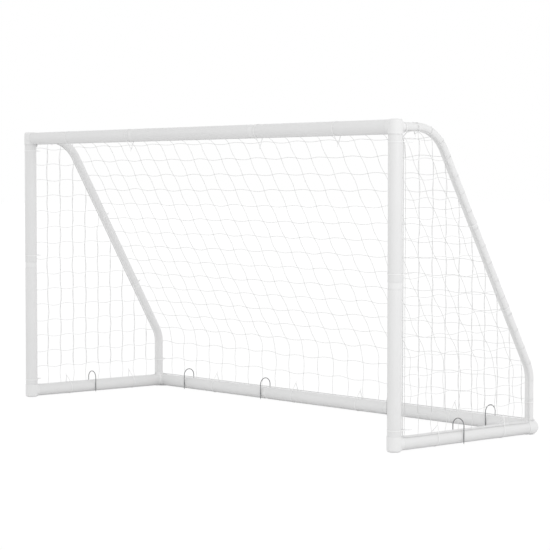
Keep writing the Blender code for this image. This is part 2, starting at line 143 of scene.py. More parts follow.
class GoalNetSettings(bpy.types.PropertyGroup):
    """Sizes of the net, its edge ropes and its cable ties."""
    cord_radius: metres("Cord radius", "Radius of the net's cords", 0.0013)
    knot_radius: metres("Knot radius", "Radius of the net's knots", 0.0031)
    rope_radius: metres("Rope radius", "Radius of the ropes along the net's edges", 0.0028)
    column_gap: metres("Column gap", "Distance between the cords that run down the back", 0.14404)
    row_gap: metres("Row gap", "Distance between the cords that run across the back", 0.1157)
    column_shift: real("Column shift", "Sideways shift of the back's cords", -0.0152, unit="LENGTH")
    first_row: metres("First row", "Way down the slope from the crossbar's level to a cord", 0.060)
    roof_level: real("Roof level", "Height of the roof above the stays' axes", -0.014, unit="LENGTH")
    roof_bend: metres("Roof bend", "Radius of the bend between roof and back", 0.110)
    side_column_gap: metres("Side column gap", "Distance between upright cords at the sides", 0.1077)
    side_row_gap: metres("Side row gap", "Distance between level cords at the sides", 0.109)
    side_first_column: metres("Side first column", "First upright cord's distance behind the posts", 0.0503)
    side_top_row: metres("Side top row", "Height of the highest level cord at the sides", 1.681)
    wrap_radius: metres("Wrap radius", "Radius at which the net lies round a stay's axis", 0.0268)
    side_reach: metres("Side reach", "Distance of the side nets outside the stays' axes", 0.0300)
    bow: metres("Bow", "How far a cord bows out between two knots", 0.0065)
    drift: metres("Drift", "How far the net wanders from an even lattice", 0.0060)
    sag: metres("Sag", "How far the net stands in and out of its plane", 0.0050)
    cord_sides: whole("Cord sides", "Facets round a cord", 6, min=3)
    strap_width: metres("Strap width", "Width of a cable tie's strap", 0.0048)
    strap_thickness: metres("Strap thickness", "Thickness of a cable tie's strap", 0.0013)
    tie_reach: metres("Tie reach", "Distance from a main tube's axis to the heads of its ties", 0.088)
    stay_tie_reach: metres("Stay tie reach", "Distance from a stay's axis to the heads of its ties", 0.038)
    tail_length: metres("Tail length", "Length of strap left beyond a tie's head", 0.018)


class GoalPegSettings(bpy.types.PropertyGroup):
    """Sizes of the ground pegs."""
    wire_radius: metres("Wire radius", "Radius of a peg's wire", 0.0028)
    point_length: metres("Point length", "Length of the ground point on each leg", 0.012)
    point_share: real("Point share", "Thickness left at the tip of a leg", 0.25, min=0.05, max=1.0,
                        subtype="FACTOR")


class GoalFinishSettings(bpy.types.PropertyGroup):
    """Colours of the finishes."""
    tube: tint("Tube", "Colour of the plastic tubes", (0.815, 0.815, 0.815))
    fitting: tint("Fitting", "Colour of the moulded fittings", (0.845, 0.845, 0.845))
    cord: tint("Cord", "Colour of the net", (0.85, 0.85, 0.85))
    rope: tint("Rope", "Colour of the net's edge ropes", (0.87, 0.87, 0.87))
    tie: tint("Cable tie", "Colour of the cable ties", (0.93, 0.93, 0.93))
    peg: tint("Peg", "Colour of the steel pegs", (0.30, 0.30, 0.31))


def tubes():
    return bpy.context.scene.goal_tubes


def nets():
    return bpy.context.scene.goal_net


def finishes():
    return bpy.context.scene.goal_finishes


# Node trees

class Nodes:
    """Adds nodes to a tree."""

    def __init__(self, tree):
        self.tree = tree

    def add(self, kind, inputs=None, **settings):
        """A node with its settings made and its inputs filled or linked."""
        node = self.tree.nodes.new(kind)
        for key, value in settings.items():
            setattr(node, key, value)
        for key, value in (inputs or {}).items():
            if isinstance(value, bpy.types.NodeSocket):
                self.tree.links.new(value, node.inputs[key])
            else:
                node.inputs[key].default_value = value
        return node

    def value(self, kind, inputs=None, **settings):
        """The first output of a new node."""
        return self.add(kind, inputs, **settings).outputs[0]

    def math(self, operation, *values):
        return self.value("ShaderNodeMath", dict(enumerate(values)), operation=operation)

    def named(self, name, data_type):
        return self.value("GeometryNodeInputNamedAttribute", {"Name": name}, data_type=data_type)

    def noise(self, vector, scale, detail, roughness=0.5):
        return self.value("ShaderNodeTexNoise", {"Vector": vector, "Scale": scale, "Detail": detail,
                                                 "Roughness": roughness})

    def lead(self, values, node):
        """Links values to a node's inputs of the same names."""
        for key, value in values.items():
            self.tree.links.new(value, node.inputs[key])


GEOMETRY = {"Geometry": "Geometry"}
LOOKS = {"Colour": "Color", "Roughness": "Float", "Height": "Float"}
SOCKET_TYPES = {bool: "Bool", int: "Int", float: "Float"}


def kept_tree(name, kind, outputs, inputs):
    """Turns a function that fills a node tree into one that builds the tree once and gives it. An input
    has a default value, or else the name of its type."""
    def keep(fill):
        def get():
            if name in bpy.data.node_groups:
                return bpy.data.node_groups[name]
            tree = bpy.data.node_groups.new(name, kind)
            for label, value in inputs.items():
                type_name = SOCKET_TYPES.get(type(value), value)
                socket = tree.interface.new_socket(label, in_out="INPUT",
                                                   socket_type=f"NodeSocket{type_name}")
                if type_name != value:
                    socket.default_value = value
            for label, type_name in outputs.items():
                tree.interface.new_socket(label, in_out="OUTPUT", socket_type=f"NodeSocket{type_name}")
            given = tree.nodes.new("NodeGroupInput").outputs
            fill(Nodes(tree), given, tree.nodes.new("NodeGroupOutput"))
            return tree
        return get
    return keep


def apply_tree(piece, tree, **values):
    """Runs a Geometry Nodes tree on a piece with the named inputs, and keeps the mesh that it gives."""
    modifier = piece.modifiers.new(tree.name, "NODES")
    modifier.node_group = tree
    sockets = {item.name: item.identifier for item in tree.interface.items_tree if item.in_out == "INPUT"}
    for name, value in values.items():
        modifier[sockets[name.replace("_", " ")]] = value
    made_plain(piece)


def modify(piece, kind, **settings):
    """Gives a piece a modifier."""
    modifier = piece.modifiers.new(kind.lower(), kind)
    for key, value in settings.items():
        setattr(modifier, key, value)


def made_plain(piece):
    """Replaces a piece's modifiers by the mesh that they give."""
    graph = bpy.context.evaluated_depsgraph_get()
    mesh = bpy.data.meshes.new_from_object(piece.evaluated_get(graph), preserve_all_data_layers=True,
                                           depsgraph=graph)
    old = piece.data
    piece.modifiers.clear()
    piece.data = mesh
    bpy.data.meshes.remove(old)
    mesh.name = piece.name


SPACE = "tube_space"
GIRTH = "girth"
FACING = "facing"
KNOT = "knot"


def sweep_nodes(nodes, geometry, radius, sides, caps):
    """Sweeps a circle along every line, thinned by the girth attribute, and keeps on each point the
    length along the line and the place on the circle."""
    curve = nodes.value("GeometryNodeMeshToCurve", {"Mesh": geometry})
    length = nodes.add("GeometryNodeSplineParameter").outputs["Length"]
    girth = nodes.named(GIRTH, "FLOAT")
    rail = nodes.add("GeometryNodeCaptureAttribute", {"Geometry": curve})
    rail.capture_items.new("FLOAT", "Length")
    rail.capture_items.new("FLOAT", "Girth")
    nodes.lead({"Length": length, "Girth": girth}, rail)
    circle = nodes.value("GeometryNodeCurvePrimitiveCircle", {"Resolution": sides, "Radius": radius})
    profile = nodes.add("GeometryNodeCaptureAttribute", {"Geometry": circle})
    profile.capture_items.new("VECTOR", "Place")
    nodes.lead({"Place": nodes.value("GeometryNodeInputPosition")}, profile)
    swept = nodes.value("GeometryNodeCurveToMesh",
                        {"Curve": rail.outputs["Geometry"], "Profile Curve": profile.outputs["Geometry"],
                         "Scale": rail.outputs["Girth"], "Fill Caps": caps})
    flat = nodes.add("ShaderNodeSeparateXYZ", {0: profile.outputs["Place"]}).outputs
    space = nodes.value("ShaderNodeCombineXYZ", {0: rail.outputs["Length"], 1: flat[0], 2: flat[1]})
    return nodes.value("GeometryNodeStoreNamedAttribute", {"Geometry": swept, "Name": SPACE, "Value": space},
                       data_type="FLOAT_VECTOR", domain="POINT")


def finish_nodes(nodes, geometry, material, output):
    """Realizes the instances, gives the material and leads to the tree's output."""
    made = nodes.value("GeometryNodeRealizeInstances", {"Geometry": geometry})
    painted = nodes.value("GeometryNodeSetMaterial", {"Geometry": made, "Material": material})
    nodes.lead({0: painted}, output)


@kept_tree("round along lines", "GeometryNodeTree", GEOMETRY,
           {"Lines": "Geometry", "Radius": 0.01, "Sides": 16, "Closed ends": True, "Material": "Material"})
def sweep_tree(nodes, given, output):
    """A round bar or cord along every line of the input."""
    swept = sweep_nodes(nodes, given["Lines"], given["Radius"], given["Sides"], given["Closed ends"])
    smooth = nodes.value("GeometryNodeSetShadeSmooth", {"Geometry": swept})
    finish_nodes(nodes, smooth, given["Material"], output)


@kept_tree("knotted net", "GeometryNodeTree", GEOMETRY,
           {"Lines": "Geometry", "Cord radius": 0.001, "Knot radius": 0.003, "Sides": 6, "Seed": 7,
            "Material": "Material"})
def net_tree(nodes, given, output):
    """Cords along the lines of the input, and a knot at each of its marked loose points."""
    cords = sweep_nodes(nodes, given["Lines"], given["Cord radius"], given["Sides"], True)
    marked = nodes.named(KNOT, "BOOLEAN")
    points = nodes.value("GeometryNodeMeshToPoints", {"Mesh": given["Lines"], "Selection": marked})
    ball = nodes.value("GeometryNodeMeshUVSphere",
                       {"Segments": 6, "Rings": 4, "Radius": given["Knot radius"]})
    ranges = (((0.0, 0.0, 0.0), (math.pi,) * 3), ((0.75, 0.85, 0.75), (1.0, 1.25, 1.0)))
    turn, scale = [nodes.value("FunctionNodeRandomValue", {0: low, 1: high, "Seed": given["Seed"]},
                               data_type="FLOAT_VECTOR") for low, high in ranges]
    rotation = nodes.value("FunctionNodeEulerToRotation", {0: turn})
    knots = nodes.value("GeometryNodeInstanceOnPoints",
                        {"Points": points, "Instance": ball, "Rotation": rotation, "Scale": scale})
    joined = nodes.add("GeometryNodeJoinGeometry", {"Geometry": cords})
    nodes.lead({"Geometry": knots}, joined)
    smooth = nodes.value("GeometryNodeSetShadeSmooth", {"Geometry": joined.outputs[0]})
    finish_nodes(nodes, smooth, given["Material"], output)


@kept_tree("ties on points", "GeometryNodeTree", GEOMETRY,
           {"Points": "Geometry", "Tie": "Object", "Material": "Material"})
def scatter_tree(nodes, given, output):
    """The given object on every point of the input, turned by the point's facing."""
    points = nodes.value("GeometryNodeMeshToPoints", {"Mesh": given["Points"]})
    facing = nodes.named(FACING, "FLOAT_VECTOR")
    rotation = nodes.value("FunctionNodeEulerToRotation", {0: facing})
    tie = nodes.add("GeometryNodeObjectInfo", {"Object": given["Tie"]}).outputs["Geometry"]
    placed = nodes.value("GeometryNodeInstanceOnPoints",
                         {"Points": points, "Instance": tie, "Rotation": rotation})
    finish_nodes(nodes, placed, given["Material"], output)


# Shader groups and materials

@kept_tree("plastic surface", "ShaderNodeTree", LOOKS,
           {"Vector": "Vector", "Colour": "Color", "Clouding": 0.02, "Cloud scale": 6.0, "Scuffs": 0.1,
            "Grain scale": 500.0, "Roughness": 0.4})
def plastic_group(nodes, given, output):
    """Moulded or drawn plastic: clouded colour, fine scuffs and a faint grain."""
    cloud = nodes.noise(given["Vector"], given["Cloud scale"], 4.0, 0.6)
    scuff = nodes.noise(given["Vector"], 90.0, 6.0, 0.75)
    grain = nodes.noise(given["Vector"], given["Grain scale"], 2.0)
    worn = nodes.value("ShaderNodeMapRange", {"Value": scuff, "From Min": 0.56, "From Max": 0.72})
    shade = nodes.math("MULTIPLY", cloud, given["Clouding"])
    scuffed = nodes.math("MULTIPLY", worn, given["Scuffs"])
    kept = nodes.math("SUBTRACT", 1.0, nodes.math("MULTIPLY_ADD", scuffed, 0.12, shade))
    colour = nodes.value("ShaderNodeVectorMath", {0: given["Colour"], "Scale": kept}, operation="SCALE")
    rough = nodes.math("MULTIPLY_ADD", scuffed, 0.35, given["Roughness"])
    height = nodes.math("MULTIPLY_ADD", cloud, 3.0, grain)
    nodes.lead({"Colour": colour, "Roughness": rough, "Height": height}, output)


@kept_tree("twisted cord", "ShaderNodeTree", LOOKS,
           {"Vector": "Vector", "Colour": "Color", "Groove colour": "Color", "Plies": 3.0, "Pitch": 0.008,
            "Fuzz": 0.2})
def cord_group(nodes, given, output):
    """Twisted plies: light crowns, painted shade in the grooves between them, a bump and a little fuzz."""
    along, across, up = nodes.add("ShaderNodeSeparateXYZ", {0: given["Vector"]}).outputs
    angle = nodes.math("ARCTAN2", up, across)
    twist = nodes.math("MULTIPLY", nodes.math("DIVIDE", along, given["Pitch"]), 2 * math.pi)
    wave = nodes.math("SINE", nodes.math("MULTIPLY_ADD", angle, given["Plies"], twist))
    crown = nodes.math("MULTIPLY_ADD", wave, 0.5, 0.5)
    fuzzy = nodes.math("MULTIPLY", nodes.noise(given["Vector"], 900.0, 3.0), given["Fuzz"])
    light = nodes.math("MULTIPLY_ADD", crown, 0.8, fuzzy)
    # Painted shade: the grooves between the plies are given a darker colour than the crowns.
    mixed = nodes.add("ShaderNodeMix", {0: light, 6: given["Groove colour"], 7: given["Colour"]},
                      data_type="RGBA").outputs[2]
    rough = nodes.math("MULTIPLY_ADD", crown, -0.12, 0.85)
    nodes.lead({"Colour": mixed, "Roughness": rough, "Height": nodes.math("ADD", crown, fuzzy)}, output)


def new_material(name, shader_values):
    """A material, the helper that adds its nodes, and its shader with the given values."""
    material = bpy.data.materials.new(name)
    material.use_nodes = True
    shader = material.node_tree.nodes["Principled BSDF"]
    for key, value in shader_values.items():
        shader.inputs[key].default_value = value
    return material, Nodes(material.node_tree), shader


def surface_material(name, group, bump, space, shader_values, **values):
    """A material that takes colour, roughness and bump from a shader group. It reads the named
    attribute, or Object coordinates where there is none."""
    if name in bpy.data.materials:
        return bpy.data.materials[name]
    material, nodes, shader = new_material(name, shader_values)
    if space:
        vector = nodes.add("ShaderNodeAttribute", attribute_name=space).outputs["Vector"]
    else:
        vector = nodes.add("ShaderNodeTexCoord").outputs["Object"]
    inputs = {key.replace("_", " "): value for key, value in values.items()}
    surface = nodes.add("ShaderNodeGroup", {"Vector": vector, **inputs}, node_tree=group).outputs
    strength, distance = bump
    raised = nodes.value("ShaderNodeBump",
                         {"Height": surface["Height"], "Strength": strength, "Distance": distance})
    nodes.lead({"Base Color": surface["Colour"], "Roughness": surface["Roughness"], "Normal": raised}, shader)
    return material


def opaque(colour, share=1.0):
    return (*[part * share for part in colour], 1.0)


def tube_plastic():
    return surface_material("drawn white plastic", plastic_group(), (0.12, 0.0004), SPACE,
                            {"Coat Weight": 0.05, "Coat Roughness": 0.2}, Colour=opaque(finishes().tube),
                            Clouding=0.035, Cloud_scale=5.0, Scuffs=0.25, Grain_scale=380.0, Roughness=0.40)


def fitting_plastic():
    return surface_material("moulded white plastic", plastic_group(), (0.15, 0.0004), None,
                            {"Coat Weight": 0.05, "Coat Roughness": 0.25}, Colour=opaque(finishes().fitting),
                            Clouding=0.03, Cloud_scale=14.0, Scuffs=0.2, Grain_scale=900.0, Roughness=0.44)


def tie_nylon():
    return surface_material("cable tie nylon", plastic_group(), (0.1, 0.0002), None, {},
                            Colour=opaque(finishes().tie), Clouding=0.05, Cloud_scale=60.0, Scuffs=0.1,
                            Grain_scale=1500.0, Roughness=0.46)


def peg_steel():
    return surface_material("peg steel", plastic_group(), (0.25, 0.0003), SPACE, {"Metallic": 0.85},
                            Colour=opaque(finishes().peg), Clouding=0.30, Cloud_scale=40.0, Scuffs=0.8,
                            Grain_scale=700.0, Roughness=0.34)


def twisted(name, colour, bump, pitch, fuzz):
    # The grooves' painted shade is the cord's own colour at 0.82.
    return surface_material(name, cord_group(), bump, SPACE, {"Sheen Weight": 0.1}, Colour=opaque(colour),
                            Groove_colour=opaque(colour, 0.82), Plies=3.0, Pitch=pitch, Fuzz=fuzz)


def net_cord():
    return twisted("net cord", finishes().cord, (0.6, 0.0006), 0.007, 0.25)


def edge_rope():
    return twisted("edge rope", finishes().rope, (0.8, 0.0012), 0.016, 0.2)


# Shapes

def add_piece(name, data, material=None):
    piece = bpy.data.objects.new(name, data)
    bpy.context.scene.collection.objects.link(piece)
    if material is not None:
        data.materials.append(material)
    return piece


def settle(piece, body, slot, *nodes):
    """A finished piece rides with a body and stands for its solids, which are hidden. The slot is not used.
    """
    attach(piece, body)
    if nodes:
        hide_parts(*nodes)


def facing_matrix(origin, direction):
    """Takes +Z to the direction and the origin to the point."""
    return Matrix.Translation(origin) @ direction.to_track_quat("Z", "Y").to_matrix().to_4x4()


# Steps of a rounding, and the largest share of a side that it may take
EASE_STEPS = 3
EASE_SHARE = 0.45


def eased(loop, ease):
    """A closed outline whose corners are rounded off."""
    points = []
    for i, corner in enumerate(loop):
        here = Vector(corner)
        before = Vector(loop[i - 1]) - here
        after = Vector(loop[(i + 1) % len(loop)]) - here
        start = here + before.normalized() * min(ease, before.length * EASE_SHARE)
        end = here + after.normalized() * min(ease, after.length * EASE_SHARE)
        for step in range(EASE_STEPS + 1):
            share = step / EASE_STEPS
            spot = start.lerp(here, share).lerp(here.lerp(end, share), share)
            points.append((spot.x, spot.y))
    return points


def turn_profile(shape, loop, matrix, steps, closed=True):
    """Adds a profile of (radius, distance) points turned about the matrix's Z axis."""
    rings = []
    for radius, along in loop:
        around = steps if radius > 0.0 else 1
        rings.append([shape.verts.new(matrix @ Vector((radius * math.cos(2 * math.pi * i / steps),
                                                       radius * math.sin(2 * math.pi * i / steps), along)))
                      for i in range(around)])
    pairs = list(zip(rings, rings[1:]))
    if closed:
        pairs.append((rings[-1], rings[0]))
    for first, second in pairs:
        for i in range(steps):
            j = (i + 1) % steps
            corners = (first[i % len(first)], first[j % len(first)],
                       second[j % len(second)], second[i % len(second)])
            shape.faces.new(list(dict.fromkeys(corners)))


def fill_mesh(mesh, shape, sharp_angle=35):
    """Fills a mesh with outward faces, smooth but for its sharp edges."""
    bmesh.ops.recalc_face_normals(shape, faces=shape.faces)
    shape.to_mesh(mesh)
    shape.free()
    mesh.polygons.foreach_set("use_smooth", [True] * len(mesh.polygons))
    mesh.set_sharp_from_angle(angle=math.radians(sharp_angle))
    return mesh


def mesh_of(name, shape, sharp_angle=35):
    return fill_mesh(bpy.data.meshes.new(name), shape, sharp_angle)


def turned_mesh(name, loop, matrix):
    shape = bmesh.new()
    turn_profile(shape, loop, matrix, tubes().tube_steps)
    return mesh_of(name, shape)


def swept_piece(name, lines, radius, sides, material, girths=None, closed=True):
    """Round bars or cords along lines."""
    piece = add_piece(name, line_mesh(name, lines, girths))
    apply_tree(piece, sweep_tree(), Radius=radius, Sides=sides, Closed_ends=closed, Material=material)
    return piece


def store_space(mesh, matrix):
    """Keeps on each point its distance along the matrix's Z axis and its place across it."""
    attribute = mesh.attributes.new(SPACE, "FLOAT_VECTOR", "POINT")
    back = matrix.inverted()
    for vertex, value in zip(mesh.vertices, attribute.data):
        local = back @ vertex.co
        value.vector = (local.z, local.x, local.y)


def line_mesh(name, lines, girths=None, knots=()):
    """A mesh of open lines and marked loose points for the Geometry Nodes trees."""
    points = []
    edges = []
    for line in lines:
        edges += [(len(points) + i, len(points) + i + 1) for i in range(len(line) - 1)]
        points += line
    mesh = bpy.data.meshes.new(name)
    mesh.from_pydata([tuple(p) for p in [*points, *knots]], edges, [])
    girth = mesh.attributes.new(GIRTH, "FLOAT", "POINT")
    girth.data.foreach_set("value", (girths or [1.0] * len(points)) + [1.0] * len(knots))
    marked = mesh.attributes.new(KNOT, "BOOLEAN", "POINT")
    marked.data.foreach_set("value", [False] * len(points) + [True] * len(knots))
    return mesh


# Straight tubes and couplers

# Flats round the solids' tubes, and the play of a spigot inside them
TUBE_FLATS = 24
STAY_FLATS = 16
FIT_GAP = 0.0003
COLLAR_EASE = 0.0007


def spigot_radius():
    return (tube_radius - tubes().tube_wall) * math.cos(math.pi / TUBE_FLATS) - FIT_GAP


def stay_spigot_radius():
    return tubes().stay_radius * math.cos(math.pi / STAY_FLATS) - tubes().stay_wall - FIT_GAP


def straight_tube(node, axis):
    """A main tube where the solid is, along the axis."""
    length = span(node).dot(axis)
    inner = tube_radius - tubes().tube_wall
    loop = [(tube_radius, length), (tube_radius, 0.0), (inner, 0.0), (inner, length)]
    matrix = facing_matrix(middle(node) - axis * length / 2, axis)
    mesh = turned_mesh(node, eased(loop, tubes().tube_ease), matrix)
    store_space(mesh, matrix)
    settle(add_piece(f"{node}_tube", mesh, tube_plastic()), GOAL, "tube", node)


def coupler(node, centre, direction, collar, collar_radius, spigot, reach):
    """A collar between two tube ends, with a spigot into each."""
    half = collar / 2
    bore = spigot - tubes().spigot_wall
    loop = [(spigot, half + reach), (spigot, half), (collar_radius, half), (collar_radius, -half),
            (spigot, -half), (spigot, -half - reach), (bore, -half - reach), (bore, half + reach)]
    mesh = turned_mesh(node, eased(loop, COLLAR_EASE), facing_matrix(centre, direction))
    settle(add_piece(f"{node}_moulding", mesh, fitting_plastic()), GOAL, "fitting", node)


class GOAL_OT_tubes(bpy.types.Operator):
    """Straight tubes of the posts, crossbar, rear bar and side bars"""
    bl_idname = "goal.tubes"
    bl_label = "Straight Tubes"

    def execute(self, context):
        for part in ("left", "middle", "right"):
            straight_tube(f"crossbar_{part}", X_AXIS)
            straight_tube(f"rear_bar_{part}", X_AXIS)
        for side, _ in SIDES:
            straight_tube(f"post_{side}_lower", Z_AXIS)
            straight_tube(f"post_{side}_upper", Z_AXIS)
            straight_tube(f"side_bar_{side}", Y_AXIS)
        return {"FINISHED"}


class GOAL_OT_couplers(bpy.types.Operator):
    """Couplers inside the joints of the tubes"""
    bl_idname = "goal.couplers"
    bl_label = "Couplers"

    def execute(self, context):
        t = tubes()
        route = stay_route()
        joint = route.at(route.length_at_height(t.stay_joint_z))
        for side, sign in SIDES:
            for bar, axis in (("crossbar", X_AXIS), ("rear_bar", X_AXIS), ("post", Z_AXIS)):
                node = f"{bar}_coupler_{side}"
                coupler(node, middle(node), axis, t.collar, tube_radius - t.collar_depth, spigot_radius(),
                        t.spigot_length)
            coupler(f"stay_coupler_{side}", on_stay(joint, sign), joint.run, t.stay_collar,
                    t.stay_radius - t.stay_collar_depth, stay_spigot_radius(), t.stay_spigot_length)
        return {"FINISHED"}


# Side stays

STAY_STEPS = 56
KNEE_STEPS = 30
HEEL_STEPS = 24
END_CLEARANCE = 0.004


class Station:
    """A place on the stay's centre line: its point, direction, outward direction and distance."""

    def __init__(self, point, run, length):
        self.point = point
        self.run = run
        self.out = Vector((0.0, -run.z, run.y))
        self.length = length


def distances(points):
    """How far along a line each of its points lies."""
    lengths = [0.0]
    for a, b in zip(points, points[1:]):
        lengths.append(lengths[-1] + (b - a).length)
    return lengths


class Route:
    """The stay's centre line, from over the post down to the rear corner, as close points."""

    def __init__(self, points):
        self.points = points
        self.lengths = distances(points)
        self.total = self.lengths[-1]
        self.runs = [(b - a).normalized() for a, b in zip(points, points[1:])]

    def at(self, length):
        i = min(max(bisect_right(self.lengths, length) - 1, 0), len(self.runs) - 1)
        point = self.points[i] + self.runs[i] * (length - self.lengths[i])
        # The direction is blended between the two halves of neighbouring steps, so that bends stay smooth.
        share = (length - self.lengths[i]) / (self.lengths[i + 1] - self.lengths[i])
        near = self.runs[min(i + 1, len(self.runs) - 1)] if share > 0.5 else self.runs[max(i - 1, 0)]
        run = self.runs[i].lerp(near, min(0.5, abs(share - 0.5))).normalized()
        return Station(point, run, length)

    def nearest(self, point):
        """The station next to a point, and how far outside the line the point lies."""
        i = min(range(len(self.points)), key=lambda k: (self.points[k] - point).length_squared)
        length = self.lengths[i] + (point - self.points[i]).dot(self.runs[min(i, len(self.runs) - 1)])
        station = self.at(min(max(length, 0.0), self.total))
        return station, (point - station.point).dot(station.out)

    def length_at_height(self, z):
        i = next(k for k, point in enumerate(self.points) if point.z <= z)
        above = self.points[i - 1]
        share = (above.z - z) / (above.z - self.points[i].z)
        return self.lengths[i - 1] + share * (self.lengths[i] - self.lengths[i - 1])


def on_stay(station, sign):
    """The place of a station on the left or the right stay."""
    return place(sign * half_width, station.point.y, station.point.z)


def within(start, end, marks):
    """The marks between two ends that aren't close to either."""
    return [mark for mark in marks if start + END_CLEARANCE < mark < end - END_CLEARANCE]


def bend(before, corner, after, radius, steps):
    """Points along the round bend that replaces a corner of a line."""
    run_in = (corner - before).normalized()
    run_out = (after - corner).normalized()
    angle = run_in.angle(run_out)
    inside = (run_out - run_in * run_in.dot(run_out)).normalized()
    centre = corner - run_in * radius * math.tan(angle / 2) + inside * radius
    return [centre + (run_in * math.sin(angle * i / steps) - inside * math.cos(angle * i / steps)) * radius
            for i in range(steps + 1)]


def stay_route():
    """The stay's centre line from the post's axis to the rear bar's level."""
    t = tubes()
    top = Vector((0.0, 0.0, cross_z))
    knee = Vector((0.0, t.stay_knee_y, cross_z))
    heel = Vector((0.0, t.stay_foot_y, t.stay_heel_z))
    foot = Vector((0.0, t.stay_foot_y, 0.0))
    return Route([top, *bend(top, knee, heel, t.knee_radius, KNEE_STEPS),
                  *bend(knee, heel, foot, t.heel_radius, HEEL_STEPS), foot])


def stay_piece(node, start, end, sign):
    """A stretch of the stay between two distances along its centre line."""
    route = stay_route()
    line = [on_stay(route.at(length), sign) for length in (start, *within(start, end, route.lengths), end)]
    piece = swept_piece(f"{node}_tube", [line], tubes().stay_radius, STAY_STEPS, tube_plastic(), closed=False)
    modify(piece, "SOLIDIFY", thickness=tubes().stay_wall, offset=-1.0)
    made_plain(piece)
    shape = bmesh.new()
    shape.from_mesh(piece.data)
    fill_mesh(piece.data, shape)
    settle(piece, GOAL, "tube", node)


class GOAL_OT_stays(bpy.types.Operator):
    """Bent tubes from the top corners to the rear corners"""
    bl_idname = "goal.stays"
    bl_label = "Side Stays"

    def execute(self, context):
        route = stay_route()
        t = tubes()
        joint = route.length_at_height(t.stay_joint_z)
        start = t.stay_arm_length + FIT_GAP
        for side, sign in SIDES:
            stay_piece(f"stay_{side}_upper", start, joint - t.stay_collar / 2, sign)
            stay_piece(f"stay_{side}_lower", joint + t.stay_collar / 2, route.total - start, sign)
        return {"FINISHED"}


# Corner fittings

SHOULDER_EASE = 0.0012
SOCKET_EASE = 0.006
PAD_EASE = 0.003
SPIGOT_EASE = 0.0008
SPIGOT_ROOT = 0.006
SPIGOT_STEPS = 48
BALL_STEPS = 16


def quarter(radius, end, ease, shares):
    """Points round the edge of a disk that faces up or down."""
    turns = [math.pi / 2 * share for share in shares]
    return [(radius - abs(ease) + abs(ease) * math.cos(turn), end - ease + ease * math.sin(turn))
            for turn in turns]


def arm_outline(radius, arm, back, ease):
    """Half section of a closed arm from behind the corner to its shoulder."""
    return [(0.0, arm), *quarter(radius, arm, SHOULDER_EASE, [1 - i / 3 for i in range(4)]),
            *quarter(radius, -back, -ease, [i / 6 for i in range(7)]), (0.0, -back)]


def ball_outline(radius):
    turns = [math.pi * (i / BALL_STEPS - 0.5) for i in range(1, BALL_STEPS)]
    curve = [(radius * math.cos(turn), radius * math.sin(turn)) for turn in turns]
    return [(0.0, -radius), *curve, (0.0, radius)]


def corner_fitting(node, solids, spigots):
    """Overlapping turned shapes melted into one moulding, with a spigot in each arm."""
    shape = bmesh.new()
    for outline, origin, direction in solids:
        turn_profile(shape, outline, facing_matrix(origin, direction), tubes().tube_steps, closed=False)
    piece = add_piece(f"{node}_moulding", mesh_of(node, shape), fitting_plastic())
    modify(piece, "REMESH", mode="VOXEL", voxel_size=tubes().mould_grain, use_smooth_shade=True)
    modify(piece, "SMOOTH", factor=0.5, iterations=7)
    made_plain(piece)
    shape = bmesh.new()
    shape.from_mesh(piece.data)
    for radius, origin, direction, arm, reach in spigots:
        bore = radius - tubes().spigot_wall
        root = arm - SPIGOT_ROOT
        loop = [(radius, arm + reach), (radius, root), (bore, root), (bore, arm + reach)]
        turn_profile(shape, eased(loop, SPIGOT_EASE), facing_matrix(origin, direction), SPIGOT_STEPS)
    fill_mesh(piece.data, shape, 50)
    settle(piece, GOAL, "fitting", node)


class GOAL_OT_corner_fittings(bpy.types.Operator):
    """Moulded fittings at the six corners"""
    bl_idname = "goal.corner_fittings"
    bl_label = "Corner Fittings"

    def execute(self, context):
        t = tubes()
        upper = arm_outline(t.fitting_radius, t.fitting_arm, t.fitting_radius, t.fitting_edge)
        standing = arm_outline(t.fitting_radius, t.fitting_arm, ground_z, t.fitting_edge)
        level = arm_outline(t.fitting_radius, t.fitting_arm, t.fitting_edge, t.fitting_edge)
        rear_level = arm_outline(t.fitting_radius, t.rear_fitting_arm, t.fitting_edge, t.fitting_edge)
        socket = arm_outline(t.stay_arm_radius, t.stay_arm_length, SOCKET_EASE, SOCKET_EASE)
        pad = arm_outline(t.foot_radius, ground_z, PAD_EASE, PAD_EASE)
        ball = ball_outline(t.elbow_radius)

        def tube_spigot(origin, direction, arm=t.fitting_arm):
            return spigot_radius(), origin, direction, arm, t.spigot_length

        def stay_spigot(origin, direction):
            return stay_spigot_radius(), origin, direction, t.stay_arm_length, t.stay_spigot_length

        for side, sign in SIDES:
            inward = -sign * X_AXIS
            top, front, rear, foot = [place(sign * half_width, y, z) for y, z in
                                      ((0.0, cross_z), (0.0, 0.0), (rear_y, 0.0), (t.stay_foot_y, 0.0))]
            corner_fitting(f"top_corner_{side}",
                           ((upper, top, -Z_AXIS), (level, top, inward), (socket, top, Y_AXIS)),
                           (tube_spigot(top, -Z_AXIS), tube_spigot(top, inward), stay_spigot(top, Y_AXIS)))
            corner_fitting(f"front_corner_{side}",
                           ((standing, front, Z_AXIS), (level, front, Y_AXIS)),
                           (tube_spigot(front, Z_AXIS), tube_spigot(front, Y_AXIS)))
            corner_fitting(f"rear_corner_{side}",
                           ((ball, rear, Z_AXIS), (rear_level, rear, -Y_AXIS), (rear_level, rear, inward),
                            (pad, rear, -Z_AXIS), (socket, foot, Z_AXIS)),
                           (tube_spigot(rear, -Y_AXIS, t.rear_fitting_arm),
                            tube_spigot(rear, inward, t.rear_fitting_arm), stay_spigot(foot, Z_AXIS)))
        return {"FINISHED"}


# Net

def smoothstep(value):
    value = min(max(value, 0.0), 1.0)
    return value * value * (3 - 2 * value)


